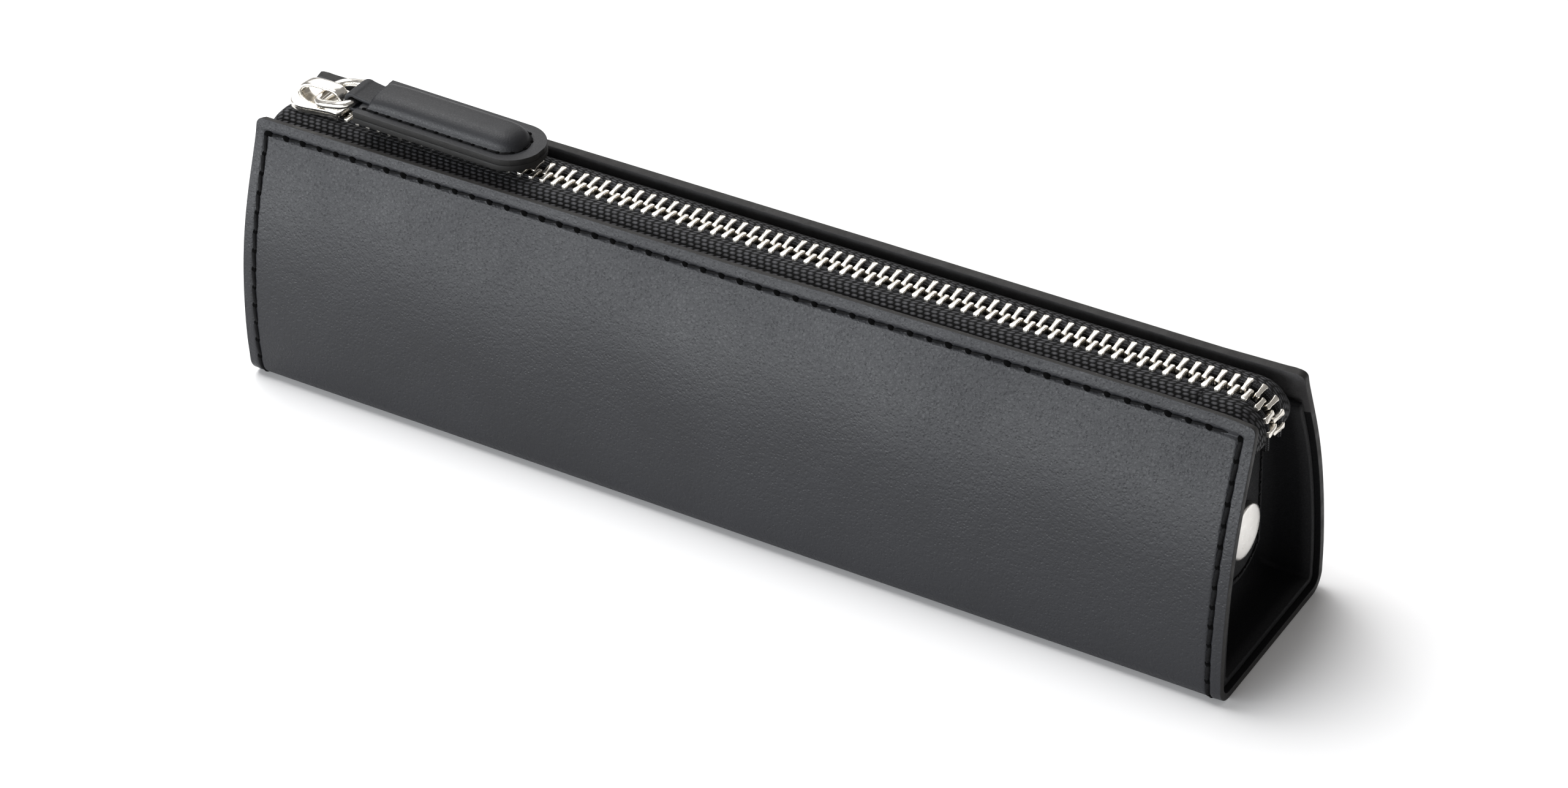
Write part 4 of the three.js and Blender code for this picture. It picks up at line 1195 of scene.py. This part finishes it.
def puller():
    left = puller_low[0]
    stations = np.concatenate([
        np.linspace(left, PILLOW_LEFT, 4), PILLOW_LEFT + np.array([0.15, 0.3, 0.45, 0.65, 0.9, 1.3]),
        np.linspace(PILLOW_LEFT + 2, PILLOW_RIGHT - 6, 28),
        np.linspace(PILLOW_RIGHT - PILLOW_END, PILLOW_RIGHT + 0.2, 30),
        PILLOW_RIGHT + 0.2 + (puller_high[0] - PILLOW_RIGHT - 0.2)
        * np.sin(np.linspace(0.1, 1, 14) * np.pi / 2),
    ])
    edge = PILLOW_HALF_WIDTH / PULL_HALF_WIDTH
    half = np.concatenate([np.linspace(0, edge - 0.12, 13), np.linspace(edge - 0.1, edge + 0.01, 10),
                           np.linspace(edge + 0.03, 1, 10)])
    shares = np.concatenate([-half[::-1], half[1:]])
    flange_low = PULL_BASE_Z + LAYER + 0.2
    flange_high = flange_low + LAYER
    rise = puller_high[2] - flange_high - 0.02
    seam = PILLOW_HALF_WIDTH + 0.22
    centre = PILLOW_RIGHT - PILLOW_HALF_WIDTH

    def grid(height):
        rows = []
        for x in stations:
            wide = pull_half_width(min(x, puller_high[0] - 0.02))
            rows.append([(x, v * wide, height(x, v * wide)) for v in shares])
        return np.array(rows)

    def upper(x, y):
        off = math.hypot(max(x - centre, 0), y) - seam
        press = 0.2 * math.exp(-(off / 0.4) ** 2)
        return flange_high + rise * pillow_share(x, y) - press

    def lower(x, y):
        return flange_low + max(rise * pillow_share(x + 0.6, y * 1.16) - 0.1, 0)

    points, faces, rim = sheet_between(grid(upper), grid(lower))
    top = face_outwards(make_mesh("puller_pad", points, faces, ["pull", "pull_edge"], rim))
    bevel(top, 0.22, 2, 60)
    lean(top)
    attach(top, "puller")
    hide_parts("puller_top_leather", "puller_filler")

    turn = np.linspace(-math.pi / 2, math.pi / 2, 29)
    reach = PULL_HALF_WIDTH + 0.1
    outline = [(ROUND_X + reach * math.cos(a), reach * math.sin(a)) for a in turn]
    outline = [(left - 0.1, -reach)] + outline + [(left - 0.1, reach)]
    under = slab("puller_back", outline, PULL_BASE_Z, flange_low - 0.04, (0, 1, 2), "pull")
    dye_rim(under, 2, "pull_edge")
    bevel(under, 0.26, 3)
    lean(under)
    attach(under, "puller")
    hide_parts("puller_bottom_leather")

    # One row of small stitches round three sides of the pillow.
    straight = centre - (left + 0.9)
    arc = math.pi * seam
    total = 2 * straight + arc

    def base(s):
        if s < straight:
            x, y = left + 0.9 + s, -seam
        elif s < straight + arc:
            a = -math.pi / 2 + (s - straight) / seam
            x, y = centre + seam * math.cos(a), seam * math.sin(a)
        else:
            x, y = centre - (s - straight - arc), seam
        return np.array([x, y, flange_high + 0.02])

    def down(s):
        along = heading(base, s, total)
        return np.array([0, 0, -1.0]), np.array([along[1], -along[0], 0])

    pitch = 2.62
    thread = lean(stitch_row("puller_thread", base, down, pitch, 0.3, int((total - 0.4) / pitch),
                             thread=0.2, hole=0.5, slant=0.25))
    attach(thread, "puller")
    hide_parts("puller_stitching")


puller()


# ---- end tab and snap ----
def end_tab():
    half = tab_high[1]
    radius = SNAP_Z - tab_low[2]
    reach = math.asin(half / radius)
    arc = [(radius * math.sin(a), SNAP_Z - radius * math.cos(a))
           for a in np.linspace(-reach, reach, 33)]
    outline = arc + [(half, tab_high[2] - 1.5), (half - 1.5, tab_high[2]),
                     (-half + 1.5, tab_high[2]), (-half, tab_high[2] - 1.5)]
    piece = slab("end_tab_leather", outline, tab_low[0], tab_high[0], (1, 2, 0), "gusset")
    dye_rim(piece, 0, "edge")
    bevel(piece, 0.35, 3)
    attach(piece, "end_tab")
    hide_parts("tab_leather")

    inset = 1.35
    inner = radius - inset
    bend = math.asin((half - inset) / inner)
    turn = SNAP_Z - inner * math.cos(bend)
    top = tab_high[2] - 3.5
    straight = top - turn
    curve = 2 * bend * inner
    total = 2 * straight + curve

    def base(s):
        if s < straight:
            y, z = -(half - inset), top - s
        elif s < straight + curve:
            a = -bend + (s - straight) / inner
            y, z = inner * math.sin(a), SNAP_Z - inner * math.cos(a)
        else:
            y, z = half - inset, turn + (s - straight - curve)
        return np.array([tab_high[0] + 0.3, y, z])

    def down(s):
        along = heading(base, s, total)
        return np.array([-1.0, 0, 0]), np.array([0, along[2], -along[1]])

    pitch = 2.5
    thread = stitch_row("end_tab_thread", base, down, pitch, 0.3, int((total - 0.4) / pitch),
                        thread=0.18, hole=0.28, slant=0.2)
    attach(thread, "end_tab")
    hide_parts("tab_stitching")


end_tab()


def snap_cap():
    """A flat nickel cap with a rolled rim and a very slight dome."""
    radius = (cap_high[1] - cap_low[1]) / 2
    face = cap_high[0]
    root = tab_high[0] - 0.1
    profile = [
        (root, 0.0), (root, radius - 0.15), (root + 0.12, radius), (face - 0.42, radius),
        (face - 0.22, radius - 0.08), (face - 0.1, radius - 0.28), (face - 0.06, radius - 0.6),
        (face - 0.05, radius - 1.4), (face - 0.01, radius * 0.5), (face, 0.0),
    ]
    sides = 64
    rings = profile[1:-1]
    turn = 2 * np.pi * np.arange(sides) / sides
    points = [(x, r * math.cos(a), SNAP_Z + r * math.sin(a)) for x, r in rings for a in turn]
    faces = ring_faces(len(rings), sides)
    back, front = len(points), len(points) + 1
    points += [(profile[0][0], 0, SNAP_Z), (profile[-1][0], 0, SNAP_Z)]
    for k in range(sides):
        m = (k + 1) % sides
        faces.append((k, back, m))
        faces.append(((len(rings) - 1) * sides + k, (len(rings) - 1) * sides + m, front))
    piece = face_outwards(make_mesh("snap_cap_face", points, faces, ["plate"]))
    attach(piece, "end_tab")
    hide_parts("snap_cap")


snap_cap()

# ---- CAD pieces that keep their shape ----
KEPT = {
    "front_tape_margin": "lining",
    "rear_tape_margin": "lining",
    "snap_stud": "nickel",
    "snap_eyelet": "nickel",
    "snap_socket": "nickel",
}
for node, key in KEPT.items():
    kept = frame["nodes"][node]
    kept.data.materials.clear()
    kept.data.materials.append(MATERIALS[key])


# ---- stage ----
def stage():
    floor_mesh = bpy.data.meshes.new("floor")
    reach = 6.0
    floor_mesh.from_pydata(
        [(-reach, -reach, 0), (reach, -reach, 0), (reach, reach, 0), (-reach, reach, 0)],
        [], [(0, 1, 2, 3)])
    floor = bpy.data.objects.new("floor", floor_mesh)
    bpy.context.scene.collection.objects.link(floor)
    floor.location.z = -0.0001
    paper = bpy.data.materials.new("pale_floor")
    paper.use_nodes = True
    shader = paper.node_tree.nodes["Principled BSDF"]
    shader.inputs["Base Color"].default_value = (0.92, 0.92, 0.925, 1)
    shader.inputs["Roughness"].default_value = 0.9
    shader.inputs["Specular IOR Level"].default_value = 0.1
    floor_mesh.materials.append(paper)

    world = bpy.data.worlds.new("studio")
    world.use_nodes = True
    background = world.node_tree.nodes["Background"]
    background.inputs["Color"].default_value = (1.0, 0.975, 0.955, 1)
    background.inputs["Strength"].default_value = 0.3
    bpy.context.scene.world = world

    def softbox(name, place, target, size, power, color=(1, 1, 1)):
        light = bpy.data.lights.new(name, "AREA")
        light.color = color
        light.shape = "RECTANGLE"
        light.size, light.size_y = size
        light.energy = power
        lamp = bpy.data.objects.new(name, light)
        bpy.context.scene.collection.objects.link(lamp)
        lamp.location = place
        aim = Vector(target) - Vector(place)
        lamp.rotation_euler = aim.to_track_quat("-Z", "Y").to_euler()

    softbox("key", (-0.7, 0.1, 1.6), (0, 0, 0.02), (1.3, 1.3), 31)
    softbox("back_panel", (-0.6, 0.95, 0.8), (0, 0, 0.03), (1.2, 0.8), 5.5)
    softbox("front_strip", (-0.6, -1.2, 0.24), (0, 0, 0.05), (1.7, 0.32), 27, (0.94, 0.97, 1.0))


stage()

bpy.context.scene.view_settings.view_transform = "Standard"
